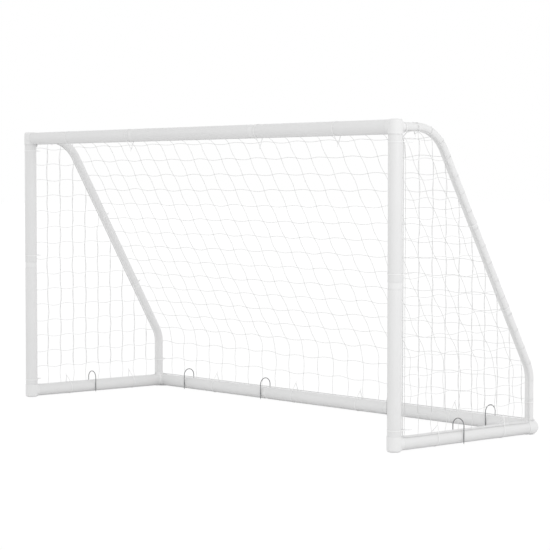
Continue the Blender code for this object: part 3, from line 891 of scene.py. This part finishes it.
def smooth_line(points):
    """Close points on a smooth curve through the given ones."""
    line = []
    for i in range(len(points) - 1):
        a, b, c, d = (points[max(i - 1, 0)], points[i], points[i + 1], points[min(i + 2, len(points) - 1)])
        steps = max(1, round((c - b).length / ROPE_STEP))
        for k in range(steps):
            u = k / steps
            line.append((b * 2 + (c - a) * u + (a * 2 - b * 5 + c * 4 - d) * u ** 2
                         + (b * 3 - a - c * 3 + d) * u ** 3) / 2)
    line.append(points[-1].copy())
    return line


# Lengths of the steps that ropes and cords are drawn with, also where the back's wrap round a stay
ROPE_STEP = 0.012
CORD_STEP = 0.019
WRAPPED_STEP = 0.026
ROPE_SIDES = 10

# The seam rope between the back and a side of the net: distance along the stay, angle round it from
# its outer face towards its back, in degrees, and distance from its axis
SEAM = ((0.048, -80, 0.0560), (0.075, -62, 0.0340), (0.110, -50, 0.0302), (2.500, -50, 0.0302))
SEAM_START = SEAM[0][0]
SEAM_STEPS = 150

# Where the other ropes lie: above the rear bar, above the side bars, behind the posts, and behind and
# below the crossbar
rope_level = 0.0447
bar_rope_z = 0.0355
post_rope_y = 0.0355
head_rope = Vector((0.0, 0.0228, -0.0394))
# How the crossbar's rope goes round a post: beyond the post's axis, behind it and below the rope
HEAD_BENDS = ((-0.060, 0.0228, 0.0), (-0.040, 0.0275, 0.002), (-0.020, 0.0425, 0.007), (0.0, 0.0480, 0.0166))
# How a side's rope comes round the post: outside its axis, behind it and below the crossbar's axis
POST_BEND = (0.022, 0.0425, 0.082)
POST_ROPE_TOP = 0.12
ROPE_INSET = 0.0015
# The turn from the post to the side bar, and how far before the rear bar's axis the side's rope ends
CORNER_BEND = (0.008, 0.010)
ROPE_END = 0.06
# Places that the straight runs go through: along the bars and up the posts
HEAD_MARKS = (-1.2, -0.4, 0.4, 1.2)
FOOT_MARKS = (-1.74, -0.9, 0.0, 0.9, 1.74)
POST_MARKS = (1.2, 0.8, 0.4, 0.08)
SIDE_BAR_MARKS = (0.075, 0.3, 0.6, 0.9)

# Where the back's sheet starts to come down on a stay, measured from its axis, and over what distance
WRAP_START = 0.10
WRAP_BLEND = 0.08
# Over what distance a side's sheet leans in to the seam rope
LEAN_BLEND = 0.07
# Over what distance from the edge of a sheet its cords come to hang freely
FREE_BLEND = 0.05
# Cords of the back. The rows start on the roof, and those past the sheet's ends or too close to them
# are left out.
BACK_COLUMNS = 24
ROOF_ROWS = 3
BACK_ROWS = 30
ROW_CLEARANCE = 0.03
SIDE_COLUMNS = 11
SIDE_ROWS = 15
COVER_STEPS = 220
ROOF_BEND_STEPS = 12
OUTLINE_STEPS = 90
# How far below the crossbar's axis, and before the rear bar's, a side's sheet ends
SIDE_TOP = 0.080
SIDE_END = 0.05
# How close the waves of the hang are, and what their seeds differ by
SLOW_WAVES = 3.1
QUICK_WAVES = 8.3
QUICK_SEED = 20.0
LIFT_SEED = 40.0


def seam_at(length):
    """Angle and distance of the seam rope from the stay's axis."""
    for (start, angle_0, reach_0), (end, angle_1, reach_1) in zip(SEAM, SEAM[1:]):
        if length <= end:
            share = smoothstep((length - start) / (end - start))
            return math.radians(angle_0 + (angle_1 - angle_0) * share), reach_0 + (reach_1 - reach_0) * share
    return math.radians(SEAM[-1][1]), SEAM[-1][2]


def seam_point(station, sign):
    """The seam rope's place next to a station on the left or the right stay."""
    angle, reach = seam_at(station.length)
    flat = station.point + station.out * reach * math.sin(angle)
    return place(sign * (half_width + reach * math.cos(angle)), flat.y, flat.z)


def seam_end(route):
    return route.length_at_height(rope_level)


class Cover:
    """The sheet that the roof and back of the net lie in: distance across, and distance down from
    the crossbar's rope. The roof sinks a little between the stays, and the back lies on them."""

    def __init__(self, route, wrap):
        self.route = route
        self.wrap = wrap
        n = nets()
        start = Vector((0.0, head_rope.y, cross_z + head_rope.z))
        slope = route.at(route.length_at_height(cross_z / 2))
        self.fall = -slope.run.z
        foot = slope.point + slope.out * wrap
        corner = foot + slope.run * ((foot.z - (cross_z + n.roof_level)) / slope.run.z) * -1.0
        self.points = [start, *bend(start, corner, foot, n.roof_bend, ROOF_BEND_STEPS)]
        first = route.nearest(self.points[-1])[0].length
        end = seam_end(route)
        for i in range(1, COVER_STEPS + 1):
            station = route.at(first + (end - first) * i / COVER_STEPS)
            self.points.append(station.point + station.out * wrap)
        self.alongs = [route.nearest(point)[0].length for point in self.points]
        self.lengths = distances(self.points)
        self.total = self.lengths[-1]

    def level_mark(self, z):
        """Distance down at which the slope, carried on straight, would reach a height."""
        i = next(k for k, point in enumerate(self.points) if point.z < cross_z / 2)
        return self.lengths[i] - (z - self.points[i].z) / self.fall

    def flat(self, down):
        """The point at a distance down, its outward direction, and its distance along the stay."""
        i = min(max(bisect_right(self.lengths, down) - 1, 0), len(self.points) - 2)
        share = (down - self.lengths[i]) / (self.lengths[i + 1] - self.lengths[i])
        run = (self.points[i + 1] - self.points[i]).normalized()
        along = self.alongs[i] + (self.alongs[i + 1] - self.alongs[i]) * share
        return self.points[i].lerp(self.points[i + 1], share), Vector((0.0, -run.z, run.y)), along

    def reach(self, down):
        """How far from the middle the sheet goes to meet the seam rope, measured round the stay."""
        _, _, along = self.flat(down)
        angle, _ = seam_at(along)
        return half_width + self.wrap * (math.pi / 2 - angle)

    def at(self, across, down, lift=0.0):
        point, out, along = self.flat(down)
        sign = 1 if across > 0 else -1
        beyond = abs(across) - half_width
        angle, reach = seam_at(along)
        # The sheet comes to lie on the stay, and wraps round it to the rope.
        station = self.route.at(along)
        lying = smoothstep((beyond + WRAP_START) / WRAP_BLEND)
        point = (point + out * lift).lerp(station.point + station.out * self.wrap, lying)
        if beyond <= 0.0:
            return place(across, point.y, point.z)
        turn = beyond / self.wrap
        late = smoothstep(turn / (math.pi / 2 - angle))
        radius = self.wrap + (reach - self.wrap) * late
        flat = station.point + station.out * radius * math.cos(turn)
        return place(sign * (half_width + radius * math.sin(turn)), flat.y, flat.z)


class Side:
    """The sheet that a side of the net lies in: distance back and height."""

    def __init__(self, route, reach, sign):
        self.route = route
        self.reach = reach
        self.sign = sign

    def edge(self, length):
        """How far outside the stay's axis the seam rope is: below zero, as it is on the near side."""
        angle, reach = seam_at(length)
        return reach * math.sin(angle)

    def outline(self):
        points = [Vector((0.0, post_rope_y, bar_rope_z)), Vector((0.0, post_rope_y, cross_z - SIDE_TOP))]
        end = seam_end(self.route)
        for i in range(OUTLINE_STEPS + 1):
            station = self.route.at(SEAM_START + (end - SEAM_START) * i / OUTLINE_STEPS)
            points.append(station.point + station.out * self.edge(station.length))
        points.append(Vector((0.0, rear_y - SIDE_END, bar_rope_z)))
        return points

    def at(self, back, high, lift=0.0):
        flat = Vector((0.0, back, high))
        station, outside = self.route.nearest(flat)
        # Near the stay the sheet leans in to the seam rope.
        angle, reach = seam_at(station.length)
        rope_x = half_width + reach * math.cos(angle)
        near = smoothstep(1 - (self.edge(station.length) - outside) / LEAN_BLEND)
        across = half_width + self.reach + lift
        return place(self.sign * (across + (rope_x - across) * near), flat.y, flat.z)


def wander(u, v, seed):
    """Three waves without a pattern, each from about -1 to 1."""
    slow = noise.noise_vector(Vector((u * SLOW_WAVES, v * SLOW_WAVES, seed)))
    quick = noise.noise_vector(Vector((u * QUICK_WAVES, v * QUICK_WAVES, seed + QUICK_SEED)))
    return slow + quick / 2


def bowed(u, v, first_u, gap_u, first_v, gap_v, fade, seed):
    """A lattice point moved so that cords bow between knots and the lattice wanders a little."""
    n = nets()
    a = math.pi * (u - first_u) / gap_u
    b = math.pi * (v - first_v) / gap_v
    drift = wander(u, v, seed) * n.drift
    du = n.bow * math.sin(b) * math.cos(a) + drift.x
    dv = n.bow * math.sin(a) * math.cos(b) + drift.y
    lift = wander(u, v, seed + LIFT_SEED).z * n.sag
    return u + du * fade, v + dv * fade, lift * fade


def stops(start, end, knots, step=CORD_STEP):
    """Places along a cord: its ends, its knots, and even steps between them."""
    marks = [start, *within(start, end, knots), end]
    places = []
    for a, b in zip(marks, marks[1:]):
        steps = max(1, round((b - a) / step))
        places += [a + (b - a) * i / steps for i in range(steps)]
    return [*places, end]


def crossings(outline, axis, value):
    """Where a line of constant y or z enters and leaves the outline."""
    other = 3 - axis
    found = []
    for i, here in enumerate(outline):
        there = outline[(i + 1) % len(outline)]
        if (here[axis] - value) * (there[axis] - value) < 0.0:
            share = (value - here[axis]) / (there[axis] - here[axis])
            found.append(here[other] + share * (there[other] - here[other]))
    return sorted(found)


def net_piece(name, lines, knots, seed, *nodes):
    n = nets()
    piece = add_piece(name, line_mesh(name, lines, knots=knots))
    apply_tree(piece, net_tree(), Cord_radius=n.cord_radius, Knot_radius=n.knot_radius, Sides=n.cord_sides,
               Seed=seed, Material=net_cord())
    settle(piece, GOAL, "net", *nodes)


def rope_piece(name, lines):
    settle(swept_piece(name, lines, nets().rope_radius, ROPE_SIDES, edge_rope()), GOAL, "net")


class GOAL_OT_back_net(bpy.types.Operator):
    """Net over the roof and the back"""
    bl_idname = "goal.back_net"
    bl_label = "Back Net"
    seed: whole("Seed", "Seed of the net's uneven hang", 3, min=1)

    def execute(self, context):
        noise.seed_set(self.seed)
        n = nets()
        cover = Cover(stay_route(), n.wrap_radius)
        first_column = n.column_shift - n.column_gap * (BACK_COLUMNS - 1) / 2
        columns = [first_column + n.column_gap * i for i in range(BACK_COLUMNS)]
        first_row = cover.level_mark(cross_z) + n.first_row
        rows = [first_row + n.row_gap * i for i in range(-ROOF_ROWS, BACK_ROWS)]
        rows = [row for row in rows if ROW_CLEARANCE < row < cover.total - ROW_CLEARANCE]
        reaches = {row: cover.reach(row) for row in rows}

        def spot(u, v):
            fade = smoothstep(min(v, cover.total - v, cover.reach(v) - abs(u)) / FREE_BLEND)
            across, down, lift = bowed(u, v, columns[0], n.column_gap, rows[0], n.row_gap, fade, self.seed)
            return cover.at(across, down, lift)

        lines = [[spot(x, v) for v in stops(0.0, cover.total, rows)] for x in columns]
        lines += [[spot(u, row) for u in stops(-reaches[row], reaches[row], columns, WRAPPED_STEP)]
                  for row in rows]
        knots = [spot(x, row) for x in columns for row in rows]
        net_piece("net_back_cover", lines, knots, self.seed, "net_roof", "net_back", "net_back_lower")
        return {"FINISHED"}


class GOAL_OT_side_nets(bpy.types.Operator):
    """Net at both sides"""
    bl_idname = "goal.side_nets"
    bl_label = "Side Nets"
    seed: whole("Seed", "Seed of the net's uneven hang", 11, min=1)

    def execute(self, context):
        noise.seed_set(self.seed)
        n = nets()
        route = stay_route()
        columns = [n.side_first_column + n.side_column_gap * i for i in range(SIDE_COLUMNS)]
        rows = [n.side_top_row - n.side_row_gap * i for i in range(SIDE_ROWS)]
        for i, (side, sign) in enumerate(SIDES):
            sheet = Side(route, n.side_reach, sign)
            outline = sheet.outline()
            seed = self.seed + i

            def spot(y, z):
                station, outside = route.nearest(Vector((0.0, y, z)))
                inside = sheet.edge(station.length) - outside
                fade = smoothstep(min(y - post_rope_y, z - bar_rope_z, inside) / FREE_BLEND)
                back, high, lift = bowed(y, z, columns[0], n.side_column_gap, rows[0], n.side_row_gap, fade,
                                         seed)
                return sheet.at(back, high, lift)

            lines = []
            knots = []
            for y in columns:
                ends = crossings(outline, 1, y)
                if len(ends) >= 2:
                    lines.append([spot(y, z) for z in stops(ends[0], ends[-1], rows)])
                    knots += [spot(y, z) for z in within(ends[0], ends[-1], rows)]
            for z in rows:
                ends = crossings(outline, 2, z)
                if len(ends) >= 2:
                    lines.append([spot(y, z) for y in stops(ends[0], ends[-1], columns)])
            net_piece(f"net_{side}_cover", lines, knots, seed, f"net_{side}")
        return {"FINISHED"}


class GOAL_OT_edge_ropes(bpy.types.Operator):
    """Ropes along the edges and seams of the net"""
    bl_idname = "goal.edge_ropes"
    bl_label = "Edge Ropes"

    def execute(self, context):
        route = stay_route()
        n = nets()
        end = seam_end(route)
        head_z = cross_z + head_rope.z
        rear_line_y = tubes().stay_foot_y + n.wrap_radius
        lengths = [SEAM_START + (end - SEAM_START) * i / SEAM_STEPS for i in range(SEAM_STEPS + 1)]
        seams = {}
        rounds = {}
        for side, sign in SIDES:
            seams[side] = [seam_point(route.at(length), sign) for length in lengths]
            rounds[side] = [place(sign * (half_width + x), y, head_z - z) for x, y, z in HEAD_BENDS]
            out, back, low = POST_BEND
            x = sign * (half_width + n.side_reach - ROPE_INSET)
            front = [seams[side][0], place(sign * (half_width + out), back, cross_z - low)]
            front += [place(x, post_rope_y, z) for z in (cross_z - POST_ROPE_TOP, *POST_MARKS)]
            front += [place(x, post_rope_y + CORNER_BEND[0], bar_rope_z + CORNER_BEND[1])]
            front += [place(x, y, bar_rope_z) for y in (*SIDE_BAR_MARKS, rear_y - ROPE_END)]
            rope_piece(f"net_rope_{side}", [seams[side], smooth_line([*front, seams[side][-1]])])
        level = [place(x, head_rope.y, head_z) for x in HEAD_MARKS]
        head = [seams["left"][0], *rounds["left"][::-1], *level, *rounds["right"], seams["right"][0]]
        foot = [place(x, rear_line_y, rope_level) for x in FOOT_MARKS]
        rope_piece("net_rope_crossbar", [smooth_line(head)])
        rope_piece("net_rope_rear_bar", [smooth_line([seams["left"][-1], *foot, seams["right"][-1]])])
        return {"FINISHED"}


# Cable ties

# How far the heads lean, in degrees: to the back on the crossbar and rear bar, outwards on the others
BAR_LEAN = 7
SIDE_LEAN = 20
STRAP_STEPS = 32
STRAP_GAP = 0.0006
# How far a strap rises over a rope, in the rope's radii, and over what angle
ROPE_RISE = 2.6
ROPE_SPREAD = 0.55
# How far each end of the strap is from the head's middle, in the strap's thickness
STRAP_PARTING = 0.7
TIE_HEAD = Vector((0.0062, 0.0072, 0.0068))
HEAD_BEVEL = 0.0012
TAIL_STEPS = 5
TAIL_BEND = 0.004
TAIL_WIDTH = 0.85
TAIL_THICKNESS = 0.9
# The ties' places on a stay: two distances along its top run, and three heights on its slope. The
# angles are those of the heads from the outer face towards the back.
STAY_TIE_LENGTHS = (0.066, 0.165)
STAY_TIE_HEIGHTS = (1.207, 0.717, 0.150)
TOP_HEAD_ANGLE = -110
SLOPE_HEAD_ANGLE = 98


def strap_loop(radius, reach, rope_angle):
    """Inner line of a tie: round the tube and on to its head at both ends, in the XY plane. It
    goes outside a rope that lies on the tube at an angle from the head."""
    touch = math.pi / 2 - math.asin(radius / reach)
    arc = []
    for i in range(STRAP_STEPS + 1):
        turn = touch + 2 * (math.pi - touch) * i / STRAP_STEPS
        over = radius
        if rope_angle is not None:
            near = smoothstep(1 - abs(turn - rope_angle) / ROPE_SPREAD)
            over += nets().rope_radius * ROPE_RISE * near
        arc.append(Vector((over * math.cos(turn), over * math.sin(turn))))
    side = Vector((0.0, nets().strap_thickness * STRAP_PARTING))
    tip = Vector((reach, 0.0))
    return [tip + side, (tip + side).lerp(arc[0], 0.5), *arc, (tip - side).lerp(arc[-1], 0.5), tip - side]


def add_strap(shape, line, width, thickness):
    """A flat strap whose inner face follows the line."""
    rows = []
    for before, here, after in zip([line[0], *line], line, [*line[1:], line[-1]]):
        run = (after - before).normalized()
        out = Vector((run.y, -run.x)) * thickness
        corners = ((here, -width), (here, width), (here + out, width), (here + out, -width))
        rows.append([shape.verts.new((flat.x, flat.y, z / 2)) for flat, z in corners])
    for first, second in zip(rows, rows[1:]):
        for k in range(4):
            shape.faces.new((first[k], first[(k + 1) % 4], second[(k + 1) % 4], second[k]))
    shape.faces.new(rows[0])
    shape.faces.new(rows[-1])


def tie_shape(radius, reach, rope_angle):
    """One cable tie round a tube whose axis is Z, with its head out at +X: strap, head and cut tail."""
    n = nets()
    line = strap_loop(radius + STRAP_GAP, reach, rope_angle)
    tip = Vector((reach, 0.0))
    shape = bmesh.new()
    add_strap(shape, line, n.strap_width, n.strap_thickness)
    head = bmesh.ops.create_cube(shape, size=1.0)["verts"]
    bmesh.ops.transform(shape, verts=head, matrix=Matrix.LocRotScale(tip.to_3d(), None, TIE_HEAD))
    edges = list(dict.fromkeys(e for v in head for e in v.link_edges))
    bmesh.ops.bevel(shape, geom=edges, offset=HEAD_BEVEL, segments=2, affect="EDGES", profile=0.5)
    # The free end of the strap runs on through the head.
    run = (tip - line[1]).normalized()
    across = Vector((-run.y, run.x))
    shares = [i / TAIL_STEPS for i in range(TAIL_STEPS + 1)]
    tail = [tip + run * n.tail_length * share + across * TAIL_BEND * share ** 2 for share in shares]
    add_strap(shape, tail, n.strap_width * TAIL_WIDTH, n.strap_thickness * TAIL_THICKNESS)
    return mesh_of("tie", shape, 30)


def tie_turn(direction, along):
    """Rotation that lays a tie's axis along the tube and its point in the direction."""
    across = along.cross(direction)
    return Matrix((direction, across, along)).transposed().to_euler()


def tie_group(name, radius, reach, spots, *nodes, rope_angle=None):
    """Ties at (centre, direction, tube direction), instanced from one shape."""
    one = add_piece("tie_template", tie_shape(radius, reach, rope_angle))
    mesh = bpy.data.meshes.new(name)
    mesh.from_pydata([tuple(centre) for centre, _, _ in spots], [], [])
    facing = mesh.attributes.new(FACING, "FLOAT_VECTOR", "POINT")
    for value, (_, direction, along) in zip(facing.data, spots):
        value.vector = tuple(tie_turn(direction, along))
    piece = add_piece(name, mesh)
    apply_tree(piece, scatter_tree(), Tie=one, Material=tie_nylon())
    template = one.data
    bpy.data.objects.remove(one)
    bpy.data.meshes.remove(template)
    settle(piece, GOAL, "tie", *nodes)


def bar_ties(bar, number, base, axis, lean):
    """The ties round a straight tube that runs through a point along an axis."""
    nodes = [f"tie_{bar}_{i}" for i in range(1, number + 1)]
    spots = [(base + axis * (middle(node) - base).dot(axis), lean, axis) for node in nodes]
    tie_group(f"cable_ties_{bar}", tube_radius, nets().tie_reach, spots, *nodes)


def leaning(direction, towards, degrees):
    angle = math.radians(degrees)
    return (direction * math.cos(angle) + towards * math.sin(angle)).normalized()


class GOAL_OT_cable_ties(bpy.types.Operator):
    """Cable ties that hold the net to the frame"""
    bl_idname = "goal.cable_ties"
    bl_label = "Cable Ties"

    def execute(self, context):
        bar_ties("crossbar", 4, place(0.0, 0.0, cross_z), X_AXIS, leaning(-Z_AXIS, Y_AXIS, BAR_LEAN))
        bar_ties("rear_bar", 4, place(0.0, rear_y, 0.0), X_AXIS, leaning(Z_AXIS, Y_AXIS, BAR_LEAN))
        route = stay_route()
        slope_lengths = [route.length_at_height(z) for z in STAY_TIE_HEIGHTS]
        for side, sign in SIDES:
            outward = sign * X_AXIS
            base = place(sign * half_width, 0.0, 0.0)
            bar_ties(f"post_{side}", 3, base, Z_AXIS, leaning(Y_AXIS, outward, SIDE_LEAN))
            bar_ties(f"side_bar_{side}", 2, base, Y_AXIS, leaning(Z_AXIS, outward, SIDE_LEAN))
            # The heads are below the top runs and behind the slopes. The straps go over the seam rope.
            for run, head_angle, lengths in (("top", TOP_HEAD_ANGLE, STAY_TIE_LENGTHS),
                                             ("slope", SLOPE_HEAD_ANGLE, slope_lengths)):
                stations = [route.at(length) for length in lengths]
                spots = [(on_stay(station, sign), leaning(outward, station.out, head_angle), station.run)
                         for station in stations]
                rope_angle = math.radians((head_angle - SEAM[-1][1]) * sign % 360)
                tie_group(f"cable_ties_stay_{side}_{run}", tubes().stay_radius, nets().stay_tie_reach, spots,
                          rope_angle=rope_angle)
        return {"FINISHED"}


# Ground pegs

ARCH_STEPS = 28
WIRE_SIDES = 20
# Places on a leg that the wire goes straight through: above its tip, and below its bow
LEG_MARK = 0.04
ARCH_MARGIN = 0.01


def peg_piece(node):
    """A staple of round wire with ground points, where the solid is."""
    p = bpy.context.scene.goal_pegs
    size = span(node)
    across = X_AXIS if size.x > size.y else Y_AXIS
    half = size.dot(across) / 2 - p.wire_radius
    foot = middle(node) - Z_AXIS * size.z / 2
    rise = size.z - p.wire_radius - half
    legs = ((0.0, p.point_share), (p.point_length, 1.0), (LEG_MARK, 1.0), (rise - ARCH_MARGIN, 1.0))
    line = [foot + across * half + Z_AXIS * height for height, _ in legs]
    girths = [girth for _, girth in legs]
    turns = [math.pi * i / ARCH_STEPS for i in range(ARCH_STEPS + 1)]
    crown = foot + Z_AXIS * rise
    arch = [crown + (across * math.cos(turn) + Z_AXIS * math.sin(turn)) * half for turn in turns]
    mirrored = [point - across * 2 * half for point in line[::-1]]
    piece = swept_piece(f"{node}_wire", [[*line, *arch, *mirrored]], p.wire_radius, WIRE_SIDES, peg_steel(),
                        [*girths, *[1.0] * len(arch), *girths[::-1]])
    settle(piece, node, "peg", node)


class GOAL_OT_ground_pegs(bpy.types.Operator):
    """Steel ground pegs astride the ground bars"""
    bl_idname = "goal.ground_pegs"
    bl_label = "Ground Pegs"

    def execute(self, context):
        for name in ("side_left", "side_right", "rear_1", "rear_2", "rear_3", "rear_4"):
            peg_piece(f"peg_{name}")
        return {"FINISHED"}


# Stage

class GoalStageSettings(bpy.types.PropertyGroup):
    """Light, floor and camera."""
    low_sky: real("Low sky", "Brightness of the surroundings at the horizon", 1.14, min=0.0)
    high_sky: real("High sky", "Brightness of the surroundings overhead", 0.71, min=0.0)
    key_power: real("Key power", "Power of the large soft light", 75.0, min=0.0, unit="POWER")
    floor_glow: real("Floor glow", "How much brighter the floor looks to the camera", 0.895, min=0.0)
    floor_bounce: real("Floor bounce", "Light that the floor gives of its own", 0.05, min=0.0)
    floor: tint("Floor", "Colour of the floor", (0.83, 0.83, 0.83))
    floor_seen: tint("Floor seen", "Colour that the camera sees under the glow", (0.05, 0.05, 0.05))
    lens: real("Lens", "Focal length on a 36 mm wide sensor", 121.9, min=1.0)


# The photograph's camera, and the large light to the right of the goal
CAMERA_PLACE = (9.0667, -7.2209, 1.4221)
CAMERA_TURN = (87.271, -0.051, 48.907)
SENSOR_WIDTH = 36.0
VIEW_END = 400.0
KEY_PLACE = Vector((7.5, -1.5, 4.2))
KEY_TARGET = Vector((0.8, 0.0, 0.8))
KEY_SIZE = 4.0
FLOOR_RADIUS = 150.0
WHITE = (1.0, 1.0, 1.0, 1.0)


def floor_material(stage):
    """A pale floor that looks nearly white to the camera and throws less light back up."""
    values = {"Emission Color": WHITE, "Specular IOR Level": 0.1}
    material, nodes, shader = new_material("studio floor", values)
    cloud = nodes.noise(nodes.add("ShaderNodeTexCoord").outputs["Object"], 0.6, 3.0)
    rough = nodes.value("ShaderNodeMapRange", {"Value": cloud, "To Min": 0.85, "To Max": 0.95})
    seen = nodes.add("ShaderNodeLightPath").outputs["Is Camera Ray"]
    colour = nodes.add("ShaderNodeMix", {0: seen, 6: opaque(stage.floor), 7: opaque(stage.floor_seen)},
                       data_type="RGBA").outputs[2]
    glow = nodes.math("MULTIPLY_ADD", seen, stage.floor_glow, stage.floor_bounce)
    nodes.lead({"Roughness": rough, "Base Color": colour, "Emission Strength": glow}, shader)
    return material


def studio_world(stage):
    """Surroundings that light the goal softly, a little darker overhead, and look white."""
    world = bpy.data.worlds.new("studio")
    world.use_nodes = True
    nodes = Nodes(world.node_tree)
    direction = nodes.add("ShaderNodeTexCoord").outputs["Generated"]
    height = nodes.add("ShaderNodeSeparateXYZ", {0: direction}).outputs["Z"]
    sky = nodes.value("ShaderNodeMapRange",
                      {"Value": height, "To Min": stage.low_sky, "To Max": stage.high_sky})
    seen = nodes.add("ShaderNodeLightPath").outputs["Is Camera Ray"]
    strength = nodes.value("ShaderNodeMix", {0: seen, 2: sky, 3: 1.0}, data_type="FLOAT")
    background = world.node_tree.nodes["Background"]
    nodes.lead({"Strength": strength}, background)
    background.inputs["Color"].default_value = WHITE
    return world


class GOAL_OT_stage(bpy.types.Operator):
    """Floor, soft light and camera"""
    bl_idname = "goal.stage"
    bl_label = "Stage"

    def execute(self, context):
        stage = context.scene.goal_stage
        shape = bmesh.new()
        bmesh.ops.create_circle(shape, cap_ends=True, segments=64, radius=FLOOR_RADIUS)
        add_piece("floor", mesh_of("floor", shape), floor_material(stage))
        context.scene.world = studio_world(stage)
        context.scene.view_settings.view_transform = "Standard"
        key = bpy.data.lights.new("key", "AREA")
        key.shape = "DISK"
        key.size = KEY_SIZE
        key.energy = stage.key_power
        add_piece("key", key).matrix_world = facing_matrix(KEY_PLACE, KEY_PLACE - KEY_TARGET)
        camera = add_piece("camera", bpy.data.cameras.new("camera"))
        camera.location = place(*CAMERA_PLACE)
        camera.rotation_euler = Euler([math.radians(angle) for angle in CAMERA_TURN])
        camera.data.sensor_width = SENSOR_WIDTH
        camera.data.lens = stage.lens
        camera.data.clip_end = VIEW_END
        context.scene.camera = camera
        return {"FINISHED"}


class GOAL_PT_panel(bpy.types.Panel):
    """Lists the goal's settings and the operators that build it"""
    bl_idname = "GOAL_PT_panel"
    bl_label = "Soccer Goal"
    bl_space_type = "VIEW_3D"
    bl_region_type = "UI"
    bl_category = "Soccer Goal"

    def draw(self, context):
        for group in SETTINGS:
            settings = getattr(context.scene, group)
            box = self.layout.box()
            for name in settings.bl_rna.properties.keys():
                if name not in ("rna_type", "name"):
                    box.prop(settings, name)
        for operator in OPERATORS:
            self.layout.operator(operator.bl_idname)


SETTINGS = {
    "goal_tubes": GoalTubeSettings,
    "goal_net": GoalNetSettings,
    "goal_pegs": GoalPegSettings,
    "goal_finishes": GoalFinishSettings,
    "goal_stage": GoalStageSettings,
}
OPERATORS = (GOAL_OT_tubes, GOAL_OT_couplers, GOAL_OT_stays, GOAL_OT_corner_fittings, GOAL_OT_back_net,
             GOAL_OT_side_nets, GOAL_OT_edge_ropes, GOAL_OT_cable_ties, GOAL_OT_ground_pegs, GOAL_OT_stage)


def register():
    for made in (*SETTINGS.values(), *OPERATORS, GOAL_PT_panel):
        bpy.utils.register_class(made)
    for name, group in SETTINGS.items():
        setattr(bpy.types.Scene, name, PointerProperty(type=group))


def unregister():
    for name in SETTINGS:
        delattr(bpy.types.Scene, name)
    for made in (GOAL_PT_panel, *OPERATORS[::-1], *list(SETTINGS.values())[::-1]):
        bpy.utils.unregister_class(made)


def main():
    register()
    for operator in OPERATORS:
        group, name = operator.bl_idname.split(".")
        getattr(getattr(bpy.ops, group), name)()


if __name__ == "__main__":
    main()
